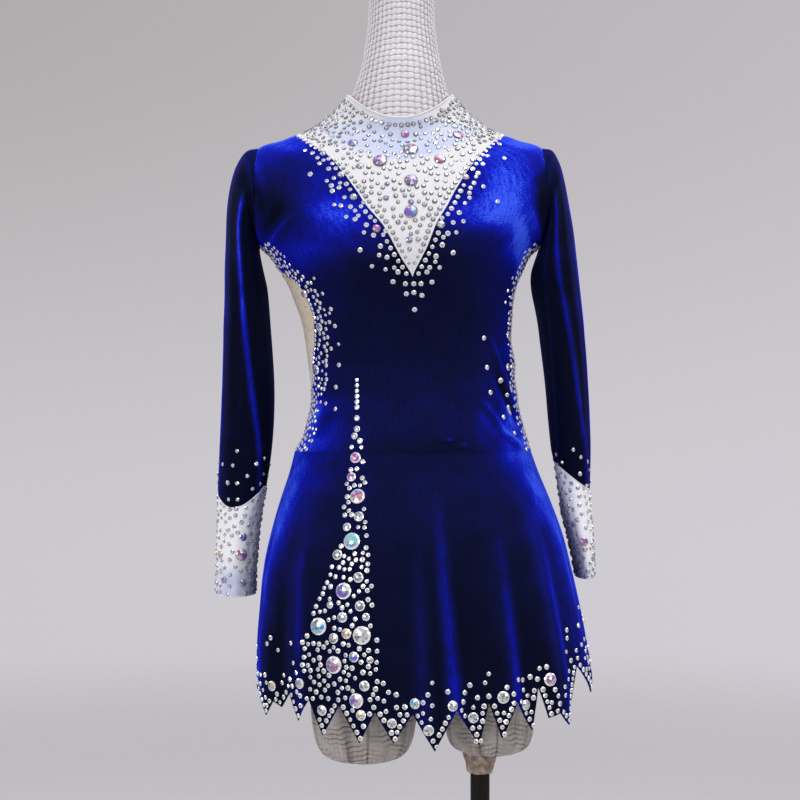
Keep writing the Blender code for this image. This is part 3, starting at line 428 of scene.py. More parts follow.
def edgeCord(name, loop, radius, finish, sides=8):
    # A thin round cord along a closed loop of points
    ahead = unit(np.roll(loop, -1, axis=0) - np.roll(loop, 1, axis=0))
    outward = unit(np.cross(ahead, np.cross(loop - loop.mean(axis=0), ahead)))
    upward = np.cross(ahead, outward)
    turns = (np.arange(sides) * tau / sides)[None, :, None]
    points = loop[:, None] + radius * (np.cos(turns) * outward[:, None] + np.sin(turns) * upward[:, None])
    numbers = closeRound(pointNumbers(len(loop), sides))
    mesh = makeMesh(name, points, gridQuads(np.concatenate([numbers, numbers[:1]])))
    shape = bmesh.new()
    shape.from_mesh(mesh)
    bmesh.ops.recalc_face_normals(shape, faces=shape.faces)
    shape.to_mesh(mesh)
    shape.free()
    return finishPiece(mesh, finish)


# Shader helpers

def feed(tree, socket, value):
    # Links another node's output to a socket, or sets the socket's own value
    if isinstance(value, bpy.types.NodeSocket):
        tree.links.new(value, socket)
    elif socket.type == "RGBA" and len(value) == 3:
        socket.default_value = (*value, 1.0)
    else:
        socket.default_value = value


def addNode(tree, kind, inputs=None, **settings):
    node = tree.nodes.new(kind)
    for key, value in settings.items():
        setattr(node, key, value)
    for key, value in (inputs or {}).items():
        feed(tree, node.inputs[key], value)
    return node


def mathNode(tree, operation, a, b=0.0, clamp=False):
    return addNode(tree, "ShaderNodeMath", {0: a, 1: b}, operation=operation, use_clamp=clamp).outputs[0]


def rangeNode(tree, value, start, end, low=0.0, high=1.0, smooth=False):
    # Runs from low to high while the value runs from start to end
    ends = {"Value": value, "From Min": start, "From Max": end, "To Min": low, "To Max": high}
    kind = "SMOOTHSTEP" if smooth else "LINEAR"
    return addNode(tree, "ShaderNodeMapRange", ends, interpolation_type=kind).outputs[0]


def noiseNode(tree, vector, scale, detail, roughness=0.5):
    settings = {"Vector": vector, "Scale": scale, "Detail": detail, "Roughness": roughness}
    return addNode(tree, "ShaderNodeTexNoise", settings).outputs["Fac"]


def rampNode(tree, factor, stops):
    # A colour ramp through (place, colour) stops
    node = addNode(tree, "ShaderNodeValToRGB", {"Fac": factor})
    elements = node.color_ramp.elements
    while len(elements) < len(stops):
        elements.new(0.5)
    for element, (place, colour) in zip(elements, stops):
        element.position = place
        element.color = (*colour, 1.0)
    return node.outputs["Color"]


def mixColour(tree, factor, a, b, blend="MIX"):
    node = addNode(tree, "ShaderNodeMix", {0: factor, 6: a, 7: b}, data_type="RGBA", blend_type=blend)
    return node.outputs[2]


def weightedSum(tree, parts):
    # Each output times its weight, added up
    total = 0.0
    for output, weight in parts:
        total = mathNode(tree, "ADD", mathNode(tree, "MULTIPLY", output, weight), total)
    return total


def splitAxes(tree, vector):
    return addNode(tree, "ShaderNodeSeparateXYZ", {0: vector}).outputs


def readMeasure(tree, name):
    return addNode(tree, "ShaderNodeAttribute", attribute_name=name).outputs["Fac"]


def newFinish(name, **sockets):
    # A material with its Principled shader's fixed values set on the shader's own sockets
    finish = bpy.data.materials.new(name)
    finish.use_nodes = True
    shader = finish.node_tree.nodes["Principled BSDF"]
    for key, value in sockets.items():
        shader.inputs[key.replace("_", " ")].default_value = value
    return finish, finish.node_tree, shader


def addRelief(tree, shader, height, strength, distance):
    relief = addNode(tree, "ShaderNodeBump", {"Strength": strength, "Distance": distance, "Height": height})
    tree.links.new(relief.outputs[0], shader.inputs["Normal"])


def spreadNodes(tree, spacing=240):
    # Each node stands one column to the left of what it feeds, below the column's other nodes
    column = {node.name: 0 for node in tree.nodes}
    for _ in tree.nodes:
        for link in tree.links:
            column[link.from_node.name] = max(column[link.from_node.name], column[link.to_node.name] + 1)
    filled = [0] * (len(column) + 1)
    for name, place in column.items():
        tree.nodes[name].location = (-spacing * place, -spacing * filled[place])
        filled[place] += 1


def newGroup(name, inputs, outputs):
    group = bpy.data.node_groups.new(name, "ShaderNodeTree")
    for label, kind, value in inputs:
        socket = group.interface.new_socket(label, in_out="INPUT", socket_type=kind)
        if value is not None:
            socket.default_value = value
    for label in outputs:
        group.interface.new_socket(label, in_out="OUTPUT", socket_type="NodeSocketFloat")
    return group, group.nodes.new("NodeGroupInput").outputs, group.nodes.new("NodeGroupOutput").inputs


def useGroup(tree, group, **inputs):
    return addNode(tree, "ShaderNodeGroup", inputs, node_tree=group).outputs


pileLook = {
    # the grain's and the streaks' scales, how far a streak is drawn out, and the patches' scale
    "grain": 620.0,
    "streak": 60.0,
    "streakStretch": (5.0, 1.0, 1.0),
    "patch": 26.0,
    # the shares of grain, streaks and patches in the pile, and of the streaks in its relief
    "shares": (0.40, 0.32, 0.28),
    "streakRelief": 0.8,
}


def makePileGroup():
    # Velvet pile: fine sparkly grain, and longer streaks where the pile lies a little differently
    inputs = [
        ("Vector", "NodeSocketVector", None), ("Grain", "NodeSocketFloat", pileLook["grain"]),
        ("Streak", "NodeSocketFloat", pileLook["streak"]),
    ]
    group, given, result = newGroup("velvetPile", inputs, ("Pile", "Height"))
    stretch = pileLook["streakStretch"]
    drawn = addNode(group, "ShaderNodeMapping", {"Vector": given["Vector"], "Scale": stretch})
    grain = noiseNode(group, given["Vector"], scale=given["Grain"], detail=2.0)
    streak = noiseNode(group, drawn.outputs[0], scale=given["Streak"], detail=3.0, roughness=0.6)
    patch = noiseNode(group, given["Vector"], scale=pileLook["patch"], detail=3.0)
    pile = weightedSum(group, zip((grain, streak, patch), pileLook["shares"]))
    height = weightedSum(group, ((grain, 1.0), (streak, pileLook["streakRelief"])))
    group.links.new(pile, result["Pile"])
    group.links.new(height, result["Height"])
    spreadNodes(group)
    return group


netLook = {
    "threads": 900.0,
    "threadSharpness": 3.0,
    "patch": 35.0,
}


def makeNetGroup():
    # Fine mesh cloth: two crossed sets of threads, with a slow unevenness
    inputs = [("Vector", "NodeSocketVector", None), ("Threads", "NodeSocketFloat", netLook["threads"])]
    group, given, result = newGroup("fineNet", inputs, ("Thread", "Patch"))
    split = splitAxes(group, given["Vector"])
    waves = []
    for axis in ("X", "Y"):
        phase = mathNode(group, "MULTIPLY", split[axis], given["Threads"])
        wave = mathNode(group, "ABSOLUTE", mathNode(group, "SINE", phase))
        waves.append(mathNode(group, "POWER", wave, netLook["threadSharpness"]))
    group.links.new(mathNode(group, "MAXIMUM", *waves), result["Thread"])
    group.links.new(noiseNode(group, given["Vector"], scale=netLook["patch"], detail=3.0), result["Patch"])
    spreadNodes(group)
    return group


pileGroup = makePileGroup()
netGroup = makeNetGroup()


velvetLook = {
    # colour by how much painted sheen and painted light the cloth gets, from the pile seen end on to lying
    # flat
    "stops": [
        (0.0, (0.0018, 0.003, 0.015)), (0.12, (0.003, 0.0046, 0.035)),
        (0.24, (0.0036, 0.0054, 0.074)),
        (0.42, (0.0036, 0.0062, 0.185)), (0.62, (0.0042, 0.0086, 0.39)),
        (0.82, (0.01, 0.03, 0.62)),
        (1.0, (0.04, 0.096, 0.87)),
    ],
    "sheenTint": (0.03, 0.07, 1.0, 1.0),
    # how strongly the painted sheen lights grazing cloth and the painted light from above lights
    # upward-facing cloth, and how close to the edge the sheen starts
    "body": (1.00, 0.36, 0.32),
    "sleeve": (0.40, 0.10, 0.32),
    "skirt": (1.16, 0.16, 0.24),
    # the heights between which the skirt's look turns into the body's
    "hips": (0.900, 1.000),
    # how steep cloth counts as facing fully upwards, where the painted light from above is full
    "upwardFull": 0.85,
    # how much the pile's unevenness shows, more so where the painted light is stronger
    "pileMiddle": 0.5,
    "unevenFloor": 0.12,
    "unevenness": 2.6,
}


def makeVelvet(name, low, high):
    # Base colour with painted light: nearly black where the pile is seen end on, royal blue where it is seen
    # from the side as a painted sheen, lighter where it faces up as painted light from above and by each
    # point's painted highlight or shade; low and high are the look under the hips and above them
    look = velvetLook
    finish, tree, shader = newFinish(
        name, Roughness=0.85, Specular_IOR_Level=0.04, Sheen_Weight=0.06, Sheen_Roughness=0.30,
        Sheen_Tint=look["sheenTint"])
    space = addNode(tree, "ShaderNodeTexCoord").outputs
    placeZ = splitAxes(tree, space["Object"])["Z"]
    pile = useGroup(tree, pileGroup, Vector=space["UV"])
    edge, top, blend = (
        rangeNode(tree, placeZ, *look["hips"], *ends, smooth=True) for ends in zip(low, high))
    # painted sheen: grazing cloth gets a lighter base colour
    facing = addNode(tree, "ShaderNodeLayerWeight", {"Blend": blend}).outputs["Facing"]
    normal = addNode(tree, "ShaderNodeNewGeometry").outputs["Normal"]
    # painted light from above: upward-facing cloth gets a lighter base colour
    upward = rangeNode(tree, splitAxes(tree, normal)["Z"], 0.0, look["upwardFull"], high=top)
    amount = mathNode(tree, "ADD", mathNode(tree, "MULTIPLY", facing, edge), upward)
    # each point's painted highlight or painted shade
    amount = mathNode(tree, "ADD", amount, readMeasure(tree, "lie"))
    uneven = mathNode(tree, "SUBTRACT", pile["Pile"], look["pileMiddle"])
    spread = mathNode(tree, "MULTIPLY", uneven, mathNode(tree, "ADD", amount, look["unevenFloor"]))
    spread = mathNode(tree, "MULTIPLY", spread, look["unevenness"])
    amount = mathNode(tree, "ADD", amount, spread, clamp=True)
    tree.links.new(rampNode(tree, amount, look["stops"]), shader.inputs["Base Color"])
    addRelief(tree, shader, pile["Height"], strength=0.35, distance=0.0006)
    spreadNodes(tree)
    return finish


meshLook = {
    "thread": (0.90, 0.89, 0.92),
    "hole": (0.76, 0.74, 0.78),
    # the blue of the stones' painted reflection on the mesh
    "glow": (0.46, 0.53, 0.80),
    "glowPatch": 1.3,
    "beige": (0.74, 0.64, 0.50),
    "beigeDepth": (0.5, 2.4),
    "speck": (0.30, 0.24, 0.18),
    "speckScale": 420.0,
    "speckEdges": (0.60, 0.70),
    "speckDepth": 0.75,
}

meshKinds = {
    # how close the threads lie, and a scale on their colour that paints light and shade: darker on the yoke
    # and collar, where more light falls from above, and paler on the cuffs, which lie in shade. A tint is the
    # heights between
    # which a speckled beige deepens upwards. A glow is a painted reflection, a band of the blue that the
    # stones cast:
    # where it starts and is full, where it fades and ends, and by how much times x squared its lower edge
    # rises and its upper edge falls sideways
    "yoke": {"threads": 2600.0, "paintedLightScale": 0.86, "glow": (1.310, 1.324, 1.366, 1.376, 4.5, 1.0)},
    "collar": {"threads": 2600.0, "paintedLightScale": 0.86, "glow": (1.320, 1.330, 1.366, 1.376, 4.5, 1.0)},
    "insert": {"threads": 1300.0, "paintedLightScale": 1.08, "tint": (1.02, 1.13)},
    "cuff": {"threads": 2600.0, "paintedLightScale": 1.12, "glow": (0.70, 0.75, 0.800, 0.838, 0.0, 0.0)},
    "edging": {"threads": 5200.0, "paintedLightScale": 1.0},
}


def addSpeckledTint(tree, colour, patch, space, placeZ, heights):
    # Uneven beige that deepens between the two heights, and small brown specks
    deep = rangeNode(tree, placeZ, *heights, *meshLook["beigeDepth"])
    colour = mixColour(tree, mathNode(tree, "MULTIPLY", patch, deep, clamp=True), colour, meshLook["beige"])
    noise = noiseNode(tree, space, scale=meshLook["speckScale"], detail=1.0)
    speck = rangeNode(tree, noise, *meshLook["speckEdges"], high=meshLook["speckDepth"])
    return mixColour(tree, speck, colour, meshLook["speck"])


def addPaintedStoneReflection(tree, colour, patch, placeX, placeZ, glow):
    # Painted reflection: a band of the blue that the stones cast on the mesh, patchy like the cloth
    start, full, fade, end, lowBend, highBend = glow
    square = mathNode(tree, "MULTIPLY", placeX, placeX)
    lower = mathNode(tree, "SUBTRACT", placeZ, mathNode(tree, "MULTIPLY", square, lowBend))
    upper = mathNode(tree, "ADD", placeZ, mathNode(tree, "MULTIPLY", square, highBend))
    rise = rangeNode(tree, lower, start, full, smooth=True)
    fall = rangeNode(tree, upper, fade, end, low=1.0, high=0.0, smooth=True)
    patchy = mathNode(tree, "MULTIPLY", patch, meshLook["glowPatch"], clamp=True)
    band = mathNode(tree, "MULTIPLY", mathNode(tree, "MULTIPLY", rise, fall), patchy)
    return mixColour(tree, band, colour, meshLook["glow"])


def makeFineMesh(name):
    # Ivory net: pale threads over slightly darker holes, scaled by its kind's painted light and shade, with
    # its kind's tint or painted reflection of the stones' blue
    kind = meshKinds[name]
    finish, tree, shader = newFinish(
        name + "Mesh", Roughness=0.72, Specular_IOR_Level=0.3, Sheen_Weight=0.15, Sheen_Roughness=0.4)
    space = addNode(tree, "ShaderNodeTexCoord").outputs
    place = splitAxes(tree, space["Object"])
    net = useGroup(tree, netGroup, Vector=space["UV"], Threads=kind["threads"])
    # the kind's scale paints light and shade into the threads and holes
    hole, thread = (tuple(kind["paintedLightScale"] * part for part in meshLook[key]) for key in ("hole", "thread"))
    colour = mixColour(tree, net["Thread"], hole, thread)
    if "tint" in kind:
        colour = addSpeckledTint(tree, colour, net["Patch"], space["Object"], place["Z"], kind["tint"])
    # painted reflection of the stones' blue
    if "glow" in kind:
        colour = addPaintedStoneReflection(tree, colour, net["Patch"], place["X"], place["Z"], kind["glow"])
    tree.links.new(colour, shader.inputs["Base Color"])
    addRelief(tree, shader, net["Thread"], strength=0.30, distance=0.0004)
    spreadNodes(tree)
    return finish


# Velvet and mesh panels of the body

bodyPieces = {
    "rowsPerStation": 9,
    "frontHalfColumns": 46,
    "backColumns": 84,
    "yokeColumns": 64,
    "insertColumns": 20,
    "collarColumns": 128,
    "pointCut": 0.12,
    "gapStep": 0.02,
    "edging": 0.0011,
    "uvRadius": 0.125,
}


def bodyUv(theta, at):
    # Metres along the cloth: turn times a mean radius across, height up
    return np.stack([theta * bodyPieces["uvRadius"], bodyPoint(theta, at)[..., 2]], axis=-1)


def cutEnd(theta, at, low=False, high=False):
    # Stops a pointed end a little short
    theta = theta.copy()
    at = at.copy()
    for use, edge, inside in ((low, 0, 1), (high, -1, -2)):
        if use:
            theta[edge] += bodyPieces["pointCut"] * (theta[inside] - theta[edge])
            at[edge] += bodyPieces["pointCut"] * (at[inside] - at[edge])
    return theta, at


def shrinkAcross(theta, metres):
    # Draws a patch's two side edges in by the seam gap
    turn = metres / bodyPieces["uvRadius"]
    share = np.linspace(1, -1, theta.shape[1])[None, :]
    return theta + turn * share


def bodyPatch(theta, at, velvet=False):
    points = velvetPoint(theta, at) if velvet else bodyPoint(theta, at)
    # the velvet's painted highlights and shade; none on the mesh
    lie = paintBodyLight(points, theta) if velvet else np.zeros(theta.shape)
    return Patch(points, bodyUv(theta, at), lie)


def fitOnForm(name, patches, finish, slot, node, weld=False):
    # A piece of the fitted body, stretched over the form
    piece = clothPiece(name, patches, finish, slot, [node], weld)
    area = sum(gridArea(patch.points) for patch in patches)


def makeFront(finish):
    # Two halves that are one piece below the V
    steps = stationSteps(bodyCut["hipSeam"], bodyCut["neckPoint"], bodyPieces["rowsPerStation"])
    halves = []
    sides = (
        lambda at: (frontEdges(at)[0], veeEdges(at)[0]),
        lambda at: (veeEdges(at)[1], frontEdges(at)[1]))
    for edges in sides:
        theta, at = cutEnd(*bodyGrid(steps, edges, bodyPieces["frontHalfColumns"]), high=True)
        halves.append(bodyPatch(theta, at, velvet=True))
    fitOnForm("frontVelvet", halves, finish, "velvet", "front_velvet", weld=True)


def makeBack(finish):
    steps = stationSteps(bodyCut["hipSeam"], bodyCut["neckPoint"], bodyPieces["rowsPerStation"])
    theta, at = bodyGrid(steps, backEdges, bodyPieces["backColumns"])
    patch = bodyPatch(shrinkAcross(theta, bodyCut["seam"]), at, velvet=True)
    fitOnForm("backVelvet", [patch], finish, "velvet", "back_velvet")


def makeYoke(finish):
    # The front yoke fills the V; the two back halves meet at the centre back
    rows = bodyPieces["rowsPerStation"]
    steps = stationSteps(bodyCut["veeTip"], bodyCut["neckSeam"], rows)
    theta, at = cutEnd(*bodyGrid(steps, veeEdges, bodyPieces["yokeColumns"]), low=True)
    patch = bodyPatch(shrinkAcross(theta, bodyCut["seam"]), at)
    fitOnForm("frontYoke", [patch], finish, "fine_mesh", "front_yoke")
    steps = stationSteps(bodyCut["neckPoint"], bodyCut["neckSeam"], rows)
    steps[0] += bodyPieces["gapStep"]
    for side, first, last in (("Left", 0.0, math.pi / 2), ("Right", math.pi / 2, math.pi)):
        theta, at = bodyGrid(steps, lambda station: (first, last), bodyPieces["collarColumns"] // 4)
        patch = bodyPatch(shrinkAcross(theta, bodyCut["seam"]), at)
        fitOnForm("backYoke" + side, [patch], finish, "fine_mesh", "back_yoke_" + side.lower())


def makeCollar(finish, edging):
    steps = stationSteps(bodyCut["neckSeam"], bodyCut["collarEdge"], bodyPieces["rowsPerStation"])
    steps[0] += bodyPieces["gapStep"]
    theta, at = bodyGrid(steps, lambda station: (math.pi / 2, math.pi / 2 + tau), bodyPieces["collarColumns"])
    patch = bodyPatch(shrinkAcross(theta, bodyCut["seam"] / 2), at)
    fitOnForm("collarBand", [patch], finish, "fine_mesh", "collar")
    edgeCord("collarEdging", patch.points[-1, :-1], bodyPieces["edging"], edging)


def makeInserts(finish):
    steps = stationSteps(bodyCut["insertLow"], bodyCut["insertHigh"], bodyPieces["rowsPerStation"])
    for side, middle in (("Right", math.pi), ("Left", tau)):
        share = bodyCut["insertFrontShare"][side.lower()]
        before, after = (2 - share, share) if side == "Right" else (share, 2 - share)

        def edges(station):
            return middle - before * insertTurn(station), middle + after * insertTurn(station)

        theta, at = cutEnd(*bodyGrid(steps, edges, bodyPieces["insertColumns"]), low=True, high=True)
        node = "side_insert_" + side.lower()
        fitOnForm("sideInsert" + side, [bodyPatch(theta, at)], finish, "fine_mesh", node)


# Sleeves and cuffs

sleeveCut = {
    # each ring is an oval between its inner and outer points, by x z seen from the front, and its half depth
    "right": [
        (-0.1765, 1.219, -0.1905, 1.34, 0.0525),
        (-0.1765, 1.215, -0.203, 1.322, 0.055),
        (-0.1755, 1.209, -0.2105, 1.298, 0.057),
        (-0.1735, 1.2, -0.215, 1.268, 0.058),
        (-0.1705, 1.187, -0.2165, 1.233, 0.058),
        (-0.1665, 1.168, -0.218, 1.193, 0.057),
        (-0.1635, 1.135, -0.219, 1.148, 0.054),
        (-0.1605, 1.095, -0.221, 1.1, 0.05),
        (-0.158, 1.05, -0.223, 1.05, 0.046),
        (-0.1585, 1.005, -0.225, 1.005, 0.043),
        (-0.162, 0.962, -0.227, 0.962, 0.0395),
        (-0.168, 0.922, -0.229, 0.927, 0.037),
    ],
    "left": [
        (0.1765, 1.219, 0.189, 1.3405, 0.0525),
        (0.175, 1.215, 0.1985, 1.324, 0.055),
        (0.1725, 1.209, 0.2045, 1.302, 0.057),
        (0.168, 1.2, 0.21, 1.273, 0.058),
        (0.1645, 1.187, 0.216, 1.238, 0.058),
        (0.165, 1.168, 0.2205, 1.198, 0.057),
        (0.1715, 1.135, 0.226, 1.152, 0.054),
        (0.177, 1.095, 0.2305, 1.105, 0.0515),
        (0.1825, 1.05, 0.234, 1.055, 0.0485),
        (0.1865, 1.005, 0.2365, 1.008, 0.046),
        (0.1905, 0.968, 0.238, 0.962, 0.043),
        (0.1945, 0.952, 0.2375, 0.919, 0.04),
    ],
    "frontDip": {"right": 0.028, "left": 0.004},
    "dipLean": {"right": 0.30, "left": 0.0},
    "rightCuff": [
        (-0.175, 0.878, -0.229, 0.878, 0.035),
        (-0.1785, 0.848, -0.23, 0.848, 0.034),
        (-0.1805, 0.818, -0.231, 0.818, 0.033),
        (-0.182, 0.787, -0.232, 0.788, 0.033),
    ],
    "leftCuff": [
        (0.203, 0.892, 0.2395, 0.89, 0.038),
        (0.21, 0.862, 0.242, 0.862, 0.037),
        (0.216, 0.836, 0.2435, 0.836, 0.036),
        (0.221, 0.809, 0.244, 0.811, 0.035),
    ],
    "cuffCrease": {"right": 316, "left": 300},
    "creaseWidth": 5,
    "creaseDepth": 0.0012,
    "creaseEnd": 1.1,
    "edging": 0.0007,
    "backset": 0.012,
    "columnsRound": 96,
    "rowsPerRing": 10,
    "cuffRowsPerRing": 9,
    "evenFrom": 1 / 3,
    "dipPower": 1.5,
    "uvRadius": 0.055,
}

sleeveFolds = {
    # long folds down a sleeve: its turns at five even places from shoulder to wrist, in degrees with 0 at the
    # body and 270 in front, its half width, its height, and how much painted highlight its crest gets
    # (painted shade where less than 0)
    "right": [
        ((268, 267, 268, 284, 318), 7.0, 0.003, 0.76), ((244, 242, 246, 252, 264), 12, -0.0016, -0.1),
        ((290, 288, 294, 306, 340), 12, -0.0018, -0.12), ((200, 200, 202, 206, 208), 6, 0.0012, 0.52),
        ((266, 266, 270, 264, 250), 4.0, 0.001, 0.14), ((60, 74, 92, 106, 118), 7, 0.003, 0.5),
        ((112, 104, 96, 84, 74), 8, 0.0018, 0.24), ((140, 142, 138, 140, 144), 12, -0.0016, 0.0),
    ],
    "left": [
        ((262, 268, 271, 254, 226), 7.0, 0.0026, 0.56), ((242, 246, 250, 238, 244), 8, -0.0012, -0.08),
        ((282, 292, 304, 314, 322), 4.5, 0.0018, 0.2), ((198, 198, 200, 204, 206), 8, 0.0012, 0.16),
        ((216, 216, 215, 206, 200), 4.5, 0.0014, 0.36), ((62, 74, 92, 106, 118), 7, 0.003, 0.5),
        ((112, 104, 96, 84, 74), 8, 0.0018, 0.24), ((140, 142, 138, 140, 144), 12, -0.0016, 0.0),
    ],
    # wrinkles across: share of the way down, turn of the middle, half length in degrees, width, height, slant
    "across": [
        (0.05, 250, 34, 0.01, 0.002, 0.03), (0.11, 286, 34, 0.009, -0.0018, 0.034),
        (0.17, 256, 26, 0.01, 0.0014, 0.04),
        (0.24, 300, 30, 0.01, 0.0012, 0.05), (0.46, 250, 40, 0.014, 0.0014, 0.02),
        (0.53, 290, 40, 0.012, -0.0014, 0.02),
        (0.6, 236, 34, 0.014, 0.0012, 0.016), (0.06, 90, 40, 0.012, 0.002, 0.03),
        (0.14, 70, 30, 0.01, -0.0016, 0.036),
        (0.5, 100, 46, 0.014, 0.0016, 0.02), (0.57, 64, 40, 0.012, -0.0012, 0.02),
        (0.78, 280, 34, 0.01, 0.001, 0.014),
        (0.86, 246, 30, 0.01, 0.001, 0.014), (0.92, 290, 30, 0.009, 0.0009, 0.014),
        (0.84, 90, 40, 0.012, 0.0012, 0.016),
    ],
    # painted shade on the side of the sleeve that faces the body, and painted highlight along each cross
    # wrinkle's crest, painted shade along its trough
    "innerPaintedShade": 0.16,
    "crestLight": 70.0,
    "length": 0.42,
    # shares of the way down: the folds' slow rise and fall, where their painted highlights begin, and where
    # all begin
    "fade": (0.10, 0.82),
    "lightFrom": 0.10,
    "foldsFrom": 0.06,
}


def armholePoints(side):
    # Round the armhole from the underarm up the back to the shoulder point and down the front
    steps = stationSteps(bodyCut["underarm"], bodyCut["shoulderPoint"], sleeveCut["columnsRound"] // 8)
    x = bodyCut["armholeX"] * (-1 if side == "right" else 1)
    back = [bodyPoint(ringTurn(at, x, False), at) for at in steps]
    front = [bodyPoint(ringTurn(at, x, True), at) for at in steps]
    points = np.array(back + front[-2:0:-1])
    points[:, 0] = x + math.copysign(bodyCut["seam"], x)
    return points


def sleeveOval(turns, ring, middleY):
    # Turn 0 at its inner point, a quarter turn at the back, half a turn at its outer point
    inner = np.array([ring[0], middleY, ring[1]])
    outer = np.array([ring[2], middleY, ring[3]])
    across = np.cos(turns)[:, None] * (inner - outer) / 2
    deep = np.sin(turns)[:, None] * np.array([0.0, ring[4], 0.0])
    return (inner + outer) / 2 + across + deep


def sleeveSections(side):
    # The armhole, then the sleeve's rings, then its end; the columns become even round it on the way down
    armhole = armholePoints(side)
    middle = armhole.mean(axis=0)
    armholeTurns = np.unwrap(np.arctan2(armhole[:, 1], middle[2] - armhole[:, 2]))
    armholeTurns -= armholeTurns[0]
    evenTurns = np.arange(len(armhole)) * tau / len(armhole)
    rings = sleeveCut[side]
    sections = [armhole]
    turnsUsed = [armholeTurns]
    for number, ring in enumerate(rings):
        share = (number + 1) / len(rings)
        even = min(1.0, share / sleeveCut["evenFrom"])
        turns = armholeTurns + (evenTurns - armholeTurns) * even
        sections.append(sleeveOval(turns, ring, sleeveCut["backset"] * share))
        turnsUsed.append(turns)
    dip = np.maximum(0, -np.sin(turnsUsed[-1] + sleeveCut["dipLean"][side])) ** sleeveCut["dipPower"]
    sections[-1][:, 2] -= sleeveCut["frontDip"][side] * dip
    return np.array(sections), np.array(turnsUsed)


def foldedSleeve(side):
    # The smooth tube, moved out from its middle line by its long folds and its cross wrinkles, and its
    # painted light: painted shade towards the body and painted highlights along the crests
    folds = sleeveFolds
    sections, turns = sleeveSections(side)
    at = np.linspace(0, len(sections) - 1, (len(sections) - 1) * sleeveCut["rowsPerRing"] + 1)
    points = smoothRows(sections, at)
    turns = smoothRows(turns, at)
    share = (at / at[-1])[:, None]
    lift = np.zeros(turns.shape)
    lie = -folds["innerPaintedShade"] * (0.5 + 0.5 * np.cos(turns))
    fadeStart, fadeRun = folds["fade"]
    fade = np.sqrt(np.sin(np.pi * np.clip(fadeStart + fadeRun * share, 0, 1)))
    lit = np.clip((share - folds["lightFrom"]) / folds["lightFrom"], 0, 1)
    for path, width, height, light in folds[side]:
        ridge = turnBump(turns, smoothRows(path, share * (len(path) - 1)), width) * fade
        lift += height * ridge
        lie += light * ridge * lit
    for down, turn, halfLength, width, height, slant in folds["across"]:
        gap = turnGap(turns, math.radians(turn))
        along = bump(gap, math.radians(halfLength))
        ridge = bump((share - down) * folds["length"] + slant * gap, width) * along
        lift += height * ridge
        lie += folds["crestLight"] * height * ridge
    lift *= np.clip(share / folds["foldsFrom"], 0, 1)
    centre = points.mean(axis=1, keepdims=True)
    return points + unit(points - centre) * lift[..., None], lie


def creasedCuff(side, tube):
    # From the sleeve's last ring through the cuff's own rings, with one long soft crease pressed in
    cut = sleeveCut
    turns = np.arange(tube.shape[1]) * tau / tube.shape[1]
    start = tube[-1] - np.array([0.0, 0.0, bodyCut["seam"]])
    rings = np.array([start] + [sleeveOval(turns, ring, cut["backset"]) for ring in cut[side + "Cuff"]])
    spans = len(rings) - 1
    cuff = smoothRows(rings, np.linspace(0, spans, spans * cut["cuffRowsPerRing"] + 1))
    across = turnBump(turns, cut["cuffCrease"][side], cut["creaseWidth"])[None, :, None]
    down = np.linspace(0, 1, len(cuff))[:, None, None]
    along = np.sin(np.pi * np.clip(down * cut["creaseEnd"], 0, 1))
    inward = unit(cuff.mean(axis=1, keepdims=True) - cuff)
    return cuff + inward * across * along * cut["creaseDepth"]


def tubeUv(points):
    # Metres: round each ring, and down the tube
    rows, columns = points.shape[:2]
    across = np.repeat(np.linspace(0, tau * sleeveCut["uvRadius"], columns)[None], rows, axis=0)
    down = np.linalg.norm(np.diff(points.mean(axis=1), axis=0), axis=1)
    height = np.concatenate([[0], np.cumsum(down)])
    return np.stack([across, np.repeat(-height[:, None], columns, axis=1)], axis=-1)


sleeveGrids = {}


def makeSleeves(velvet, mesh, edging):
    # The right sleeve's rows run the other way, so that its faces point outwards too
    for side, order in (("right", slice(None, None, -1)), ("left", slice(None))):
        name = side.capitalize()
        tube, lie = foldedSleeve(side)
        sleeve = closeRound(tube)
        cuff = closeRound(creasedCuff(side, tube))
        sleeveGrids[side] = sleeve
        sleeveGrids[side + "Cuff"] = cuff
        patch = Patch(sleeve[order], tubeUv(sleeve)[order], closeRound(lie)[order])
        piece = clothPiece("sleeve" + name, [patch], velvet, "velvet", ["sleeve_" + side], weld=True)
        patch = Patch(cuff[order], tubeUv(cuff)[order], np.zeros(cuff.shape[:2]))
        piece = clothPiece("cuff" + name, [patch], mesh, "fine_mesh", ["cuff_" + side], weld=True)
        for part, ring in (("Top", cuff[0]), ("Hem", cuff[-1])):
            edgeCord("cuff" + part + "Edging" + name, ring[:-1], sleeveCut["edging"], edging)


# Skirt

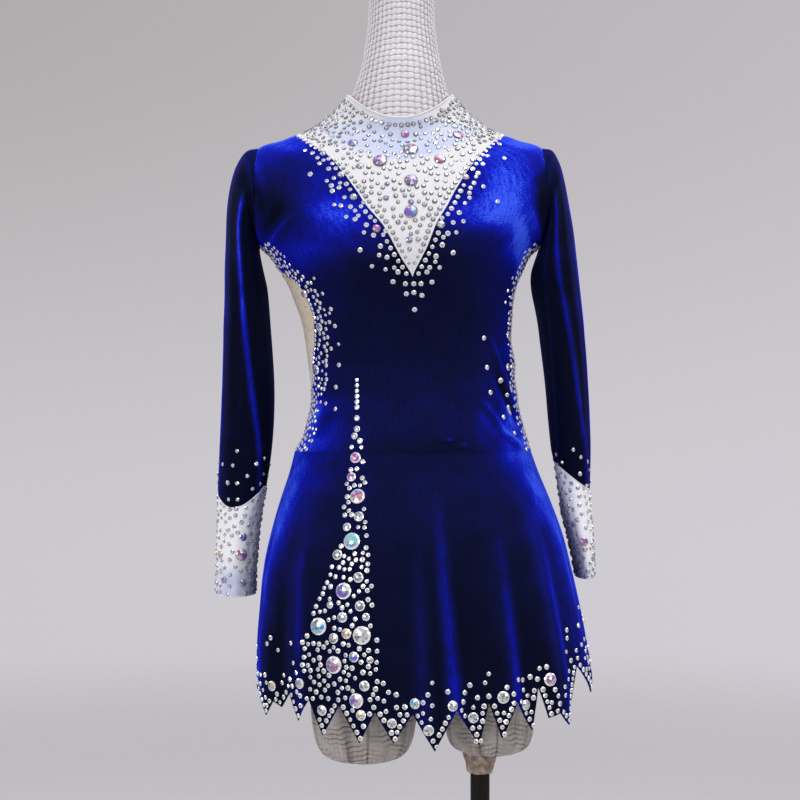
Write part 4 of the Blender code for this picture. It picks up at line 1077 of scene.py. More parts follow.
skirtCut = {
    # from the hem's tips up to the hip seam
    "columns": "height right left front back fullness",
    "rows": [
        (0.637, -0.176, 0.242, -0.174, 0.181, 1.0),
        (0.69, -0.178, 0.24, -0.17, 0.178, 0.95),
        (0.735, -0.178, 0.233, -0.166, 0.174, 0.85),
        (0.78, -0.175, 0.224, -0.16, 0.168, 0.7),
        (0.825, -0.171, 0.2135, -0.152, 0.16, 0.55),
        (0.865, -0.162, 0.203, -0.142, 0.15, 0.4),
        (0.905, -0.15, 0.188, -0.126, 0.135, 0.2),
        (0.94, -0.138, 0.173, -0.111, 0.121, 0.05),
        (0.967, -0.131, 0.163, -0.103, 0.112, 0.0),
    ],
    "tipHeight": 0.637,
    "spike": 0.045,
    # how far the side seams' notches lie above a spike's length
    "seamRise": {"right": 0.014, "left": 0.024},
    # each spike's turn, how far its tip lies above the lowest, and the notch after it above a level one
    "spikes": {
        "Front": [
            (184.0, 0.036, 0.014), (194.0, 0.04, 0.01), (208.5, 0.02, -0.007), (216.5, 0.033, 0.007),
            (226.5, 0.023, 0.003), (235.5, 0.009, 0.0), (249.0, 0.005, -0.005), (259.5, 0.006, -0.005),
            (271.5, 0.0, 0.0), (285.0, 0.003, 0.005), (291.5, 0.011, 0.006), (303.5, 0.015, 0.018),
            (309.0, 0.028, -0.013), (318.5, 0.016, 0.035), (336.0, 0.044, 0.03), (352.0, 0.044, 0.024),
        ],
        "Back": [
            (7.0, 0.036, 0.028), (18.5, 0.045, 0.034), (29.0, 0.04, 0.026), (41.0, 0.024, 0.012),
            (53.0, 0.012, 0.006), (64.0, 0.013, 0.002), (75.5, 0.003, -0.003), (86.0, 0.007, 0.0),
            (98.0, 0.0, -0.004), (109.5, 0.006, 0.002), (121.0, 0.003, 0.0), (131.5, 0.01, 0.006),
            (143.0, 0.009, 0.006), (154.5, 0.018, 0.01), (165.0, 0.026, 0.014), (175.0, 0.032, 0.014),
        ],
    },
    "foldRest": 0.0035,
    # standing folds: turn, half width in degrees, height at the hem
    "folds": [
        (13, 9, 0.007), (36, 10, 0.012), (62, 8, 0.008), (88, 10, 0.013), (116, 8, 0.009), (142, 10, 0.011),
        (168, 8, 0.007), (206, 11, 0.01), (227, 6, 0.005), (252, 7, 0.004), (272, 7, 0.011),
        (293, 6, 0.009),
        (313, 7, 0.01), (334, 9, 0.009),
    ],
    # crisp ridges (+) and troughs (-) on top of them: turn at the hem and at the upper end, half width,
    # height, height of the upper end, and how much painted highlight the crest gets (painted shade where less
    # than 0)
    "ridges": [
        (277.8, 277.6, 1.9, 0.004, 0.925, 0.46), (282.0, 281.6, 2.4, -0.0024, 0.89, -0.04),
        (268.8, 270.4, 1.8, 0.002, 0.88, 0.22), (273.2, 273.6, 2.0, -0.0014, 0.86, -0.04),
        (296.8, 299.6, 1.9, 0.0026, 0.88, 0.36), (301.6, 304.0, 2.6, -0.0018, 0.85, -0.05),
        (318.6, 321.6, 1.5, 0.0026, 0.9, 0.34), (327.0, 332.0, 5.0, 0.0014, 0.93, 0.16),
        (340.0, 342.0, 3.0, -0.002, 0.9, -0.1), (349.0, 350.0, 4.0, 0.0016, 0.93, 0.06),
        (228.8, 226.4, 1.8, 0.0018, 0.88, 0.3), (203.0, 208.0, 3.4, 0.0012, 0.94, 0.2),
        (215.0, 219.0, 4.6, -0.0018, 0.89, -0.14), (196.0, 198.0, 3.0, 0.0022, 0.9, 0.06),
        (242.0, 243.0, 2.0, 0.001, 0.8, 0.06), (24.0, 28.0, 2.4, 0.0028, 0.88, 0.3),
        (50.0, 50.0, 2.0, 0.0032, 0.87, 0.34), (75.0, 78.0, 1.8, 0.0026, 0.9, 0.32),
        (101.0, 99.0, 2.0, 0.0036, 0.9, 0.4), (128.0, 126.0, 2.0, 0.0028, 0.87, 0.32),
        (155.0, 152.0, 2.4, 0.003, 0.89, 0.3), (64.0, 66.0, 3.0, -0.002, 0.88, -0.05),
        (112.0, 110.0, 3.0, -0.002, 0.88, -0.05),
    ],
    # painted shade on the skirt's sides near the hem: how much, the height where it begins, and the drop over
    # which it grows full
    "hemPaintedShade": 0.20,
    "hemPaintedShadeFrom": 0.80,
    "hemPaintedShadeRun": 0.08,
    "hemColumns": 5,
    "rowsDown": 96,
    "tableSteps": 801,
    "blend": 0.12,
    "uvRadius": 0.19,
}


def skirtRows(height):
    # The row of the skirt's table that a height lies at, on a smooth curve through the rows
    rows = np.linspace(0, len(skirtCut["rows"]) - 1, skirtCut["tableSteps"])
    return np.interp(height, tableColumn(skirtCut, "height", rows), rows)


def skirtRidges(theta, height):
    # Each ridge is a bell curve across, strongest at the hem and gone at its upper end
    hem = skirtCut["tipHeight"]
    for low, high, width, tall, top, light in skirtCut["ridges"]:
        share = np.clip((height - hem) / (top - hem), 0, 1)
        yield turnBump(theta, low + (high - low) * share, width) * (1 - share ** 3), tall, light


def skirtPoint(theta, height):
    # An oval that widens downwards, moved out by standing folds that grow to the hem and by crisp ridges
    at = skirtRows(height)
    x, y = oval(theta, *(tableColumn(skirtCut, name, at) for name in ("right", "left", "front", "back")))
    lift = np.zeros_like(x) - skirtCut["foldRest"]
    for turn, width, tall in skirtCut["folds"]:
        lift = lift + tall * turnBump(theta, turn, width)
    lift = lift * tableColumn(skirtCut, "fullness", at)
    for ridge, tall, _ in skirtRidges(theta, height):
        lift = lift + tall * ridge
    return np.stack([x + lift * np.cos(theta), y + lift * np.sin(theta), height + 0 * x], axis=-1)


def skirtNormal(theta, height):
    return surfaceNormal(skirtPoint, theta, height)


def paintSkirtLight(theta, height, points):
    # The body's painted highlights and shade run on down the skirt; each ridge's crest gets a painted
    # highlight, and the hem's sides get painted shade
    amount = paintBodyLight(points, theta)
    for ridge, _, light in skirtRidges(theta, height):
        amount += light * ridge
    low = np.clip((skirtCut["hemPaintedShadeFrom"] - height) / skirtCut["hemPaintedShadeRun"], 0, 1)
    return amount - skirtCut["hemPaintedShade"] * low * np.cos(theta) ** 2


def hemCorners(half):
    # The turn and height of every notch and tip, from the notch at one side seam to the one at the other
    spikes = skirtCut["spikes"][half]
    firstTurn, side = (180, "right") if half == "Front" else (0, "left")
    notchHeight = skirtCut["tipHeight"] + skirtCut["spike"]
    notchTurns = [(spike[0] + following[0]) / 2 for spike, following in zip(spikes[:-1], spikes[1:])]
    corners = [(firstTurn, notchHeight + skirtCut["seamRise"][side])]
    for (turn, tipRise, notchRise), notchTurn in zip(spikes, notchTurns + [firstTurn + 180]):
        corners += [(turn, skirtCut["tipHeight"] + tipRise), (notchTurn, notchHeight + notchRise)]
    return np.array(corners).T


def makeSkirt(finish):
    # From the hem's corners straight up to the hip seam, drawn onto the seam over the last rows
    cut = skirtCut
    share = np.linspace(0, 1, cut["rowsDown"] + 1)[:, None]
    blend = np.clip((share - 1 + cut["blend"]) / cut["blend"], 0, 1)[..., None] ** 2
    for half in ("Front", "Back"):
        cornerTurns, cornerHeights = hemCorners(half)
        count = len(cornerTurns)
        columns = np.arange((count - 1) * cut["hemColumns"] + 1) / cut["hemColumns"]
        turns = np.interp(columns, np.arange(count), cornerTurns)
        hem = np.interp(turns, cornerTurns, cornerHeights)
        theta = np.repeat(np.radians(turns)[None, :], len(share), axis=0)
        seam = bodyPoint(theta[0], bodyCut["hipSeam"])
        height = hem[None, :] + (seam[:, 2] - hem)[None, :] * share
        points = skirtPoint(theta, height)
        points = points + blend * (seam - points[-1])[None]
        uv = np.stack([theta * cut["uvRadius"], height], axis=-1)
        patch = Patch(points, uv, paintSkirtLight(theta, height, points))
        node = "skirt_" + half.lower()
        piece = clothPiece("skirt" + half, [patch], finish, "velvet", [node])


# The dress form's knitted net cover, and the stand

formCut = {
    # ovals up the neck: height, right, left, front, back
    "neck": [
        (1.4375, -0.0505, 0.0535, -0.05, 0.058),
        (1.464, -0.045, 0.0485, -0.046, 0.056),
        (1.496, -0.0405, 0.044, -0.045, 0.055),
        (1.53, -0.0385, 0.0425, -0.045, 0.054),
        (1.54, -0.035, 0.039, -0.041, 0.05),
        (1.545, -0.027, 0.031, -0.033, 0.042),
    ],
    "hips": [
        (0.775, -0.06, 0.108, -0.04, 0.045),
        (0.785, -0.092, 0.142, -0.068, 0.075),
        (0.81, -0.118, 0.166, -0.092, 0.102),
        (0.85, -0.126, 0.171, -0.1, 0.114),
        (0.895, -0.129, 0.169, -0.103, 0.117),
        (0.935, -0.13, 0.164, -0.102, 0.114),
    ],
    # height, half width, half depth of each thigh stub, with its middle's x
    "stubs": {
        "Right": (-0.045, [
            (0.583, 0.036, 0.036), (0.588, 0.05, 0.051), (0.598, 0.058, 0.06), (0.616, 0.0635, 0.066),
            (0.652, 0.067, 0.071), (0.72, 0.0675, 0.076), (0.79, 0.0675, 0.081), (0.85, 0.063, 0.076)]),
        "Left": (0.112, [
            (0.592, 0.034, 0.034), (0.597, 0.046, 0.048), (0.606, 0.052, 0.056), (0.622, 0.0555, 0.061),
            (0.655, 0.057, 0.066), (0.72, 0.057, 0.072), (0.79, 0.056, 0.078), (0.85, 0.051, 0.074)]),
    },
    "stubBackset": 0.003,
    "clearance": 0.0004,
    "columnsRound": 264,
    # how many of the body's stations, counted down from the top, have the neck's fine rows already
    "neckStations": 4,
    "neckRows": 270,
    "hiddenStep": 0.5,
    # where the net shows on the body and over what height it comes in, and how far up the stubs
    "netFrom": 1.345,
    "netBlend": 0.01,
    "stubRows": 130,
    "stubNetTop": 0.705,
    "stubHiddenRows": (5.5, 6.0, 6.5, 7.0),
    "capRings": 9,
    "capReach": 0.96,
    "capTone": 0.62,
}

knitCut = {
    "stitches": 44,
    "stitchHeight": 0.0072,
    "relief": 0.0011,
    "rowArc": 0.010,
    "level": 0.80,
    # the rows' waver: height in rows, and its turns a stitch and a row
    "waver": [(0.06, tau, 0.0), (0.05, 1.7, 2.6), (0.05, 4.1, 1.0)],
    "lean": {"height": 0.04, "pitch": 2.3},
    # widths and places are in rows and stitches; atSides is what the net's stretch round the sides adds
    "groove": {"width": 0.11, "depth": 0.66},
    "column": {"width": 0.13, "depth": 0.20, "atSides": 0.20},
    "bead": {"row": 0.82, "length": 0.12, "stitch": 0.5, "width": 0.26, "height": 0.32, "atSides": 0.14},
    "hole": {"row": 0.40, "width": 0.26, "atSides": 0.60},
    "sideRise": 1.5,
    "sideFrom": 0.35,
}

gatherCut = {
    "level": 0.85,
    "rowPitch": 1.15,
    # the rows' waver: height in rows, waves in a turn, its turns a row, and where it starts
    "waver": [(0.45, 2, 0.0, 0.7), (0.20, 9, 0.6, 0.0), (0.12, 23, 1.0, 0.0)],
    "groove": {"width": 0.13, "depth": 0.66},
    # the grooves fade in and out: least share, what is added, waves in a turn, and their sway from row to row
    "fade": {"least": 0.55, "more": 0.45, "waves": 6, "sway": 1.9, "pitch": 0.9},
    # fine standing ribs that come and go
    "ribs": {"height": 0.10, "waves": 61, "sway": 0.8, "pitch": 2.1, "fadeWaves": 3, "fadePitch": 0.7},
    # standing wrinkles: share of a turn, lean to a row, half width, depth
    "wrinkles": [
        (0.766, 0.0, 0.004, 0.5), (0.7, 0.0016, 0.01, 0.14), (0.815, -0.0014, 0.009, 0.22),
        (0.845, 0.001, 0.008, 0.3), (0.64, 0.0008, 0.012, 0.3), (0.895, 0.0, 0.012, 0.3),
        (0.08, 0.0012, 0.012, 0.35), (0.2, -0.001, 0.014, 0.4), (0.33, 0.001, 0.012, 0.35),
        (0.45, -0.0012, 0.012, 0.3), (0.56, 0.0, 0.01, 0.25),
    ],
}


def netRelief(stitch, row, side):
    # Rows of stitches with a narrow wavy groove between them, a small bead on each stitch's upper edge, and
    # straight column grooves with an open hole in each stitch where the net stretches round the sides
    grooves, columns, beads, holes = (knitCut[key] for key in ("groove", "column", "bead", "hole"))
    wave = row
    for height, perStitch, perRow in knitCut["waver"]:
        wave = wave + height * np.sin(perStitch * stitch + perRow * row)
    across = np.mod(wave, 1.0)
    along = np.mod(stitch + knitCut["lean"]["height"] * np.sin(knitCut["lean"]["pitch"] * row), 1.0)
    groove = bump(np.minimum(across, 1 - across), grooves["width"])
    column = bump(np.minimum(along, 1 - along), columns["width"])
    bead = bump(across - beads["row"], beads["length"]) * bump(along - beads["stitch"], beads["width"])
    hole = column * bump(across - holes["row"], holes["width"])
    relief = knitCut["level"] - grooves["depth"] * groove
    relief = relief - (columns["depth"] + columns["atSides"] * side) * column - holes["atSides"] * side * hole
    return relief + (beads["height"] + beads["atSides"] * side) * bead


def swayingWaves(turn, row, cut):
    return np.sin(tau * cut["waves"] * turn + cut["sway"] * np.sin(cut["pitch"] * row))


def stubRelief(turn, row):
    # Gathered net: rows that waver and fade in and out, standing wrinkles and ribs, and a seam up the front
    cut = gatherCut
    waver = 0.0
    for height, waves, perRow, start in cut["waver"]:
        waver = waver + height * np.sin(tau * waves * turn + perRow * row + start)
    across = np.mod(cut["rowPitch"] * row + waver, 1.0)
    strength = cut["fade"]["least"] + cut["fade"]["more"] * swayingWaves(turn, row, cut["fade"])
    groove = bump(np.minimum(across, 1 - across), cut["groove"]["width"]) * strength
    wrinkles = np.zeros(row.shape)
    for middle, lean, width, depth in cut["wrinkles"]:
        wrinkles += depth * bump(np.mod(turn - middle - lean * row + 0.5, 1.0) - 0.5, width)
    ribs = cut["ribs"]
    ribFade = 0.5 + 0.5 * np.sin(ribs["fadePitch"] * row + tau * ribs["fadeWaves"] * turn)
    fine = ribs["height"] * swayingWaves(turn, row, ribs) * ribFade
    return cut["level"] - cut["groove"]["depth"] * groove - wrinkles + fine


def closeEnds(rings, netMask):
    # Both ends run on flat to a small ring round their middle, where the net's relief fades out
    shares = np.linspace(0, formCut["capReach"], formCut["capRings"] + 1)[1:, None, None]
    first, last = (end + (end.mean(axis=0) - end) * shares for end in (rings[0], rings[-1]))
    fade = np.clip(1 - 2 * shares[..., 0], 0, 1)
    netMask = np.concatenate([(netMask[0] * fade)[::-1], netMask, netMask[-1] * fade])
    return np.concatenate([first[::-1], rings, last]), netMask


def netPiece(name, rings, netMask, finish, gathered):
    # A closed loft through rings of points, with the net's relief along its normals where the mask is on
    rings, netMask = closeEnds(rings, netMask)
    across = np.roll(rings, -1, axis=1) - np.roll(rings, 1, axis=1)
    normals = unit(np.cross(across, np.gradient(rings, axis=0)))
    rows, columns = rings.shape[:2]
    turn = np.arange(columns) / columns
    arc = knitCut["rowArc"] * np.maximum(0, -np.sin(turn * tau)) ** 2
    row = (rings[..., 2] - arc[None, :]) / knitCut["stitchHeight"]
    if gathered:
        relief = stubRelief(turn[None, :], row)
    else:
        side = np.clip(np.abs(np.cos(turn * tau)) * knitCut["sideRise"] - knitCut["sideFrom"], 0, 1)
        relief = netRelief(turn[None, :] * knitCut["stitches"], row, side[None, :])
    points = rings + normals * (knitCut["relief"] * (relief - 1) * netMask)[..., None]
    mesh = makeMesh(name, points, tubeFaces(rows, columns))
    # netDepth colours the grooves and holes with painted shade and each bead with a painted highlight
    setMeasure(mesh, "netDepth", "POINT", relief * netMask + formCut["capTone"] * (1 - netMask))
    return finishPiece(mesh, finish, ["dress_form"])


def levelRing(x, y, height):
    return np.stack([x, y, np.full(len(x), height)], axis=-1)


def formRings(turns):
    # Ovals at the hips, the body's rings drawn in under the cloth, and ovals up the neck with fine even rows
    sections = [levelRing(*oval(turns, *sides), height) for height, *sides in formCut["hips"]]
    for at in range(bodyCut["collarEdge"] + 1):
        inset = bodyCut["walls"]["velvet"] + float(tableColumn(bodyCut, "ease", at)) + formCut["clearance"]
        sections.append(bodyPoint(turns, at) - inset * bodyNormal(turns, at))
    firstNeck = len(sections) - formCut["neckStations"]
    sections += [levelRing(*oval(turns, *sides), height) for height, *sides in formCut["neck"]]
    sections = np.array(sections)
    front = sections[firstNeck:, len(turns) * 3 // 4, 2]
    heights = np.linspace(front[0], front[-1], formCut["neckRows"])[1:]
    neckAt = firstNeck + np.interp(heights, front, np.arange(len(front)))
    hidden = np.arange(0, firstNeck, formCut["hiddenStep"])
    return smoothRows(sections, np.concatenate([hidden, [firstNeck], neckAt]))


def stubRings(turns, middle, stub):
    # Ovals down a thigh stub, with fine even rows up to where the net shows
    cos, sin = np.cos(turns), np.sin(turns)
    sections = [
        levelRing(middle + halfWidth * cos, halfDepth * sin + formCut["stubBackset"], height)
        for height, halfWidth, halfDepth in stub]
    heights = np.array([row[0] for row in stub])
    low = np.linspace(heights[0], formCut["stubNetTop"], formCut["stubRows"])
    at = np.concatenate([np.interp(low, heights, np.arange(len(heights))), formCut["stubHiddenRows"]])
    return smoothRows(np.array(sections), at)


def makeForm(finish):
    turns = np.arange(formCut["columnsRound"]) * tau / formCut["columnsRound"]
    rings = formRings(turns)
    mask = np.clip((rings[..., 2] - formCut["netFrom"]) / formCut["netBlend"], 0, 1)
    netPiece("formBody", rings, mask, finish, gathered=False)
    for side, (middle, stub) in formCut["stubs"].items():
        rings = stubRings(turns, middle, stub)
        netPiece("formStub" + side, rings, np.ones(rings.shape[:2]), finish, gathered=True)


standCut = {
    "postX": 0.1000,
    "postDiameter": 0.024,
    "postEdge": 0.0006,
    "postColumns": 64,
    "socketTop": 0.0420,
    "socketEnd": 0.0320,
    "socketLength": 0.026,
    "socketEdge": 0.0012,
    "stubLow": 0.592,
    "gap": 0.0003,
    "baseDiameter": 0.380,
    "baseThickness": 0.006,
    "baseEdge": 0.002,
    "baseColumns": 160,
    "edgeSteps": 5,
    "sideSteps": 14,
    "crispFrom": 40,
    # the wrap's slanting wrinkles: how many in a turn, depth, turns a metre, and where they start
    "wrinkles": [(5, 0.0010, 230, 0.4), (9, 0.0007, 420, 1.7), (14, 0.0004, 640, 2.9)],
}


def turnedPiece(name, profile, x, finish, replaced, wrinkled=False, columns=96):
    # A profile of radius and height carried round the vertical line at x, with slanting wrinkles where asked
    turns = (np.arange(columns) * tau / columns)[None, :]
    radius, height = profile[..., None]
    lift = np.zeros((len(radius), columns))
    if wrinkled:
        for count, depth, pitch, start in standCut["wrinkles"]:
            lift += depth * np.sin(count * turns + pitch * height + start)
        lift[[0, -1]] = 0
    reach = radius + lift
    points = np.stack([x + reach * np.cos(turns), reach * np.sin(turns), height + 0 * turns], axis=-1)
    mesh = makeMesh(name, points, tubeFaces(*points.shape[:2]))
    mesh.set_sharp_from_angle(angle=math.radians(standCut["crispFrom"]))
    return finishPiece(mesh, finish, [replaced])


def roundedProfile(radiusLow, radiusHigh, low, high, edge):
    # Up the side of a turned piece, with a quarter circle at each end
    turns = np.linspace(0, math.pi / 2, standCut["edgeSteps"])
    share = np.linspace(0, 1, standCut["sideSteps"])[1:-1]
    across, up = edge * np.sin(turns), edge * np.cos(turns)
    radius = [radiusLow - edge + across, radiusLow + (radiusHigh - radiusLow) * share, radiusHigh - edge + up]
    height = [low + edge - up, low + edge + (high - low - 2 * edge) * share, high - edge + across]
    return np.array([np.concatenate(radius), np.concatenate(height)])


def makeStand(metal, wrap):
    cut = standCut
    base, post, socketEnd, socketTop = (
        cut[key] / 2 for key in ("baseDiameter", "postDiameter", "socketEnd", "socketTop"))
    socketHigh = cut["stubLow"] - cut["gap"]
    socketLow = socketHigh - cut["socketLength"]
    postLow = cut["baseThickness"] + cut["gap"]
    profile = roundedProfile(base, base, 0.0, cut["baseThickness"], cut["baseEdge"])
    turnedPiece("basePlate", profile, 0.0, metal, "base_plate", columns=cut["baseColumns"])
    profile = roundedProfile(post, post, postLow, socketLow - cut["gap"], cut["postEdge"])
    turnedPiece(
        "standPost", profile, cut["postX"], metal, "stand_post", columns=cut["postColumns"])
    profile = roundedProfile(socketEnd, socketTop, socketLow, socketHigh, cut["socketEdge"])
    turnedPiece("postSocket", profile, cut["postX"], wrap, "post_socket", wrinkled=True)


netCoverLook = {
    # colour by how far down in the net, which paints shade into the grooves and holes and a highlight on each
    # bead: clean up on the body, and on the thigh stubs darker and warmer, painted shade under the skirt
    # together with dust
    "clean": [
        (0.0, (0.2, 0.18, 0.19)), (0.45, (0.54, 0.5, 0.53)), (0.8, (0.72, 0.69, 0.72)),
        (1.0, (0.86, 0.83, 0.86)),
    ],
    "dustAndShade": [(0.0, (0.080, 0.066, 0.060)), (0.45, (0.28, 0.25, 0.235)), (1.0, (0.54, 0.50, 0.475))],
    # the heights between which the darker look of painted shade and dust turns into the clean one
    "dustAndShadeUpTo": (0.68, 0.95),
    "stain": [(0.32, (0.62, 0.58, 0.57)), (0.60, (1.0, 1.0, 1.0))],
    "stainAll": 0.22,
    "stainLow": 0.55,
}


def makeNetFinish():
    # White knitted net: pale stitches, and grooves and holes darkened by painted shade; greyer and warmer
    # towards the thigh stubs, which is painted shade under the skirt together with dust
    look = netCoverLook
    finish, tree, shader = newFinish("knittedNet", Roughness=0.85, Specular_IOR_Level=0.2, Sheen_Weight=0.08)
    space = addNode(tree, "ShaderNodeTexCoord").outputs["Object"]
    # darker and warmer downwards: painted shade under the skirt together with dust
    low = rangeNode(tree, splitAxes(tree, space)["Z"], *look["dustAndShadeUpTo"], low=1.0, high=0.0)
    depth = readMeasure(tree, "netDepth")
    colour = mixColour(tree, low, rampNode(tree, depth, look["clean"]), rampNode(tree, depth, look["dustAndShade"]))
    grain = noiseNode(tree, space, scale=60.0, detail=6.0, roughness=0.65)
    stain = mathNode(tree, "ADD", mathNode(tree, "MULTIPLY", low, look["stainLow"]), look["stainAll"])
    colour = mixColour(tree, stain, colour, rampNode(tree, grain, look["stain"]), "MULTIPLY")
    tree.links.new(colour, shader.inputs["Base Color"])
    addRelief(tree, shader, noiseNode(tree, space, scale=1300.0, detail=3.0), strength=0.4, distance=0.0005)
    spreadNodes(tree)
    return finish


grainLooks = {
    # satin paint, and a crumpled wrap: one noise each, which gives the colour by its stops and the relief
    "paintedSteel": {
        "shader": {"Roughness": 0.50, "Specular_IOR_Level": 0.15, "Coat_Weight": 0.05, "Coat_Roughness": 0.3},
        "noise": {"scale": 240.0, "detail": 4.0},
        "stops": [(0.3, (0.0035, 0.0030, 0.0026)), (0.75, (0.0085, 0.0070, 0.0055))],
        "relief": {"strength": 0.12, "distance": 0.0004},
    },
    "socketWrap": {
        "shader": {"Roughness": 0.6},
        "noise": {"scale": 110.0, "detail": 5.0},
        "stops": [(0.35, (0.17, 0.12, 0.08)), (0.55, (0.33, 0.25, 0.19)), (0.75, (0.56, 0.47, 0.40))],
        "relief": {"strength": 0.7, "distance": 0.002},
    },
}


def makeGrainFinish(name):
    look = grainLooks[name]
    finish, tree, shader = newFinish(name, **look["shader"])
    grain = noiseNode(tree, addNode(tree, "ShaderNodeTexCoord").outputs["Object"], **look["noise"])
    tree.links.new(rampNode(tree, grain, look["stops"]), shader.inputs["Base Color"])
    addRelief(tree, shader, grain, **look["relief"])
    spreadNodes(tree)
    return finish


# Set stones

picture = {"width": 1.0, "pixels": 800, "distance": 1.7, "height": 1.03}

largeStones = {
    # where each is seen in the 800 by 800 view, its diameter in millimetres, and a lean of its colour:
    # 0 clear, 1 rose, 2 violet and blue, 3 aqua, 4 gold
    "yoke": [
        (410.7, 149.5, 18, 1), (380, 161, 17, 1), (440, 159, 14, 1), (411, 180.5, 16, 2),
        (411, 211.5, 16, 2),
        (353, 143, 12, 2), (458, 135, 13, 1), (405, 134, 10, 1), (360, 166, 9, 2), (409, 240, 8, 2),
        (386, 198, 7, 2),
        (387, 184, 6, 2), (411, 202, 7, 2), (361, 122, 6, 2), (380.5, 141, 6, 2), (455, 126, 9, 3),
        (341, 174.5, 9, 0), (353.5, 197, 9, 0), (376.5, 228.5, 10, 1), (441, 224.5, 10, 0),
        (323, 153.5, 8, 2), (466, 177, 8, 1),
    ],
    "slit": [
        (357.6, 496.5, 18, 1), (352, 541.4, 20, 3), (355.6, 457.7, 13, 1), (359, 516.6, 12, 0),
        (337.5, 554.8, 12, 0),
        (351.5, 477, 11, 1), (358.5, 577.5, 12, 0), (343.8, 591, 19, 2), (331.7, 594, 12, 0),
        (360, 606, 12, 0),
        (342.4, 617.4, 12, 3), (318.7, 626.4, 20, 3), (346.5, 633.7, 12, 4), (362, 635.4, 21, 0),
        (333.7, 638.4, 12, 0),
        (354, 657, 12, 2), (334, 664.8, 20, 1), (364.5, 686, 12, 0), (356.5, 700.7, 17, 1),
        (361, 715.4, 12, 4),
        (347, 527, 10, 0), (354.5, 436, 8, 0), (360, 441, 7, 0), (366, 617, 9, 0),
        (330, 605, 8, 0), (339, 660, 8, 0), (370, 660, 8, 0),
    ],
    "hem": [
        (322, 710.4, 12, 0), (272, 686, 12, 4), (299.6, 683.6, 12, 0), (392, 723.5, 11, 0),
        (415, 703.7, 12, 3),
        (428.7, 730.5, 12, 0), (452.7, 706, 12, 0), (473.3, 717.8, 12, 0), (503.3, 697.3, 14, 0),
        (525.6, 705, 12, 0),
        (550, 679.5, 15, 1),
    ],
    # a single row at the top of the slit: x, first and last y, first and last diameter, how many
    "slitTop": (357, 380, 429, 4.8, 7.6, 10),
    # small ones below the V's tip
    "tip": [
        (393, 281.7, 6, 0), (405.4, 283.7, 6, 0), (413.8, 283.7, 6, 0), (421, 283.7, 6, 0),
        (406.3, 293.8, 6, 0),
        (413.8, 292.5, 6, 0), (422, 295.4, 6, 0), (414.6, 309.6, 6, 0), (432, 282, 6, 0),
        (398, 272, 6, 0), (427, 272, 6, 0),
    ],
    "waist": [
        (287.4, 274, 10, 1), (304.5, 293.8, 11, 1), (319.3, 327.3, 11, 2), (316.2, 369.5, 12, 2),
        (508, 335, 10, 1),
        (508, 367, 9, 0), (511, 389, 9, 2), (313, 391, 8, 2), (484, 338, 6, 0), (487, 367.5, 6, 0),
        (500.5, 380.5, 7, 0),
        (490.5, 392.5, 6, 0), (507, 395, 5.5, 0), (508, 407.5, 6.5, 0), (503.5, 417, 6, 0),
        (517, 418, 5.5, 0),
        (514.5, 433, 5.5, 0), (331, 309, 5.5, 0), (335, 326, 5.5, 0), (339, 365, 5.5, 0),
        (336, 387, 5.5, 0), (335.5, 409, 5, 0),
    ],
    "cuffs": [
        (241.3, 554.8, 15, 1), (220.4, 553.7, 11, 4), (243, 537, 10, 2), (261.5, 536, 10, 1),
        (224, 580, 9, 1), (242.8, 583, 9, 2),
        (584, 541.7, 11, 1), (592.5, 556.6, 11, 3), (574, 524, 8, 2), (579, 566, 8, 1),
    ],
}

smallStones = {
    "size": (0.0048, 0.0064),
    "waistSize": (0.0038, 0.0056),
    "yokeGap": 0.0076,
    "slitGap": 0.0064,
    "hemGap": 0.0086,
    "cuffGap": 0.0078,
    "sleeveGap": 0.0115,
    "sides": 10,
    "largeSides": 16,
    "largeFrom": 0.0072,
    "clearance": 0.0002,
    "plainShare": 0.86,
    "coatPick": 3.99,
    "sizePower": 1.5,
    "turnRadius": 0.12,
    "edgeSteps": 400,
    "ringSteps": 720,
    "ringUneven": 0.3,
}

gemCuts = {
    # each ring's radius and height in diameters, the part of the corners it has, and its turn in corners;
    # then the height of the middle
    "small": ([(0.48, -0.08, 1, 0), (0.50, 0.10, 1, 0), (0.30, 0.27, 1, 0)], 0.29),
    "large": ([(0.49, -0.06, 1, 0), (0.50, 0.06, 1, 0), (0.40, 0.15, 1, 0.5), (0.20, 0.20, 2, 0.25)], 0.225),
}

rng = np.random.default_rng(20)
placed = {"points": np.zeros((0, 3)), "radii": np.zeros(0)}
stoneSets = {}


def facetBand(low, lowCount, high, highCount, flat):
    # The facets between two rings of corners: quads on a flat wall, two triangles to a corner between even
    # rings, and a triangle and a kite to a corner where the upper ring has half as many
    steps = [(i, (i + 1) % lowCount) for i in range(lowCount)]
    if flat:
        return [[low + i, low + j, high + j, high + i] for i, j in steps]
    if lowCount == highCount:
        triangles = [[low + i, low + j, high + i] for i, j in steps]
        return triangles + [[low + j, high + j, high + i] for i, j in steps]
    halves = [(i, 2 * i, 2 * i + 1, (2 * i + 2) % lowCount, (i + 1) % highCount) for i in range(highCount)]
    triangles = [[low + a, low + b, high + i] for i, a, b, c, j in halves]
    return triangles + [[low + b, low + c, high + j, high + i] for i, a, b, c, j in halves]


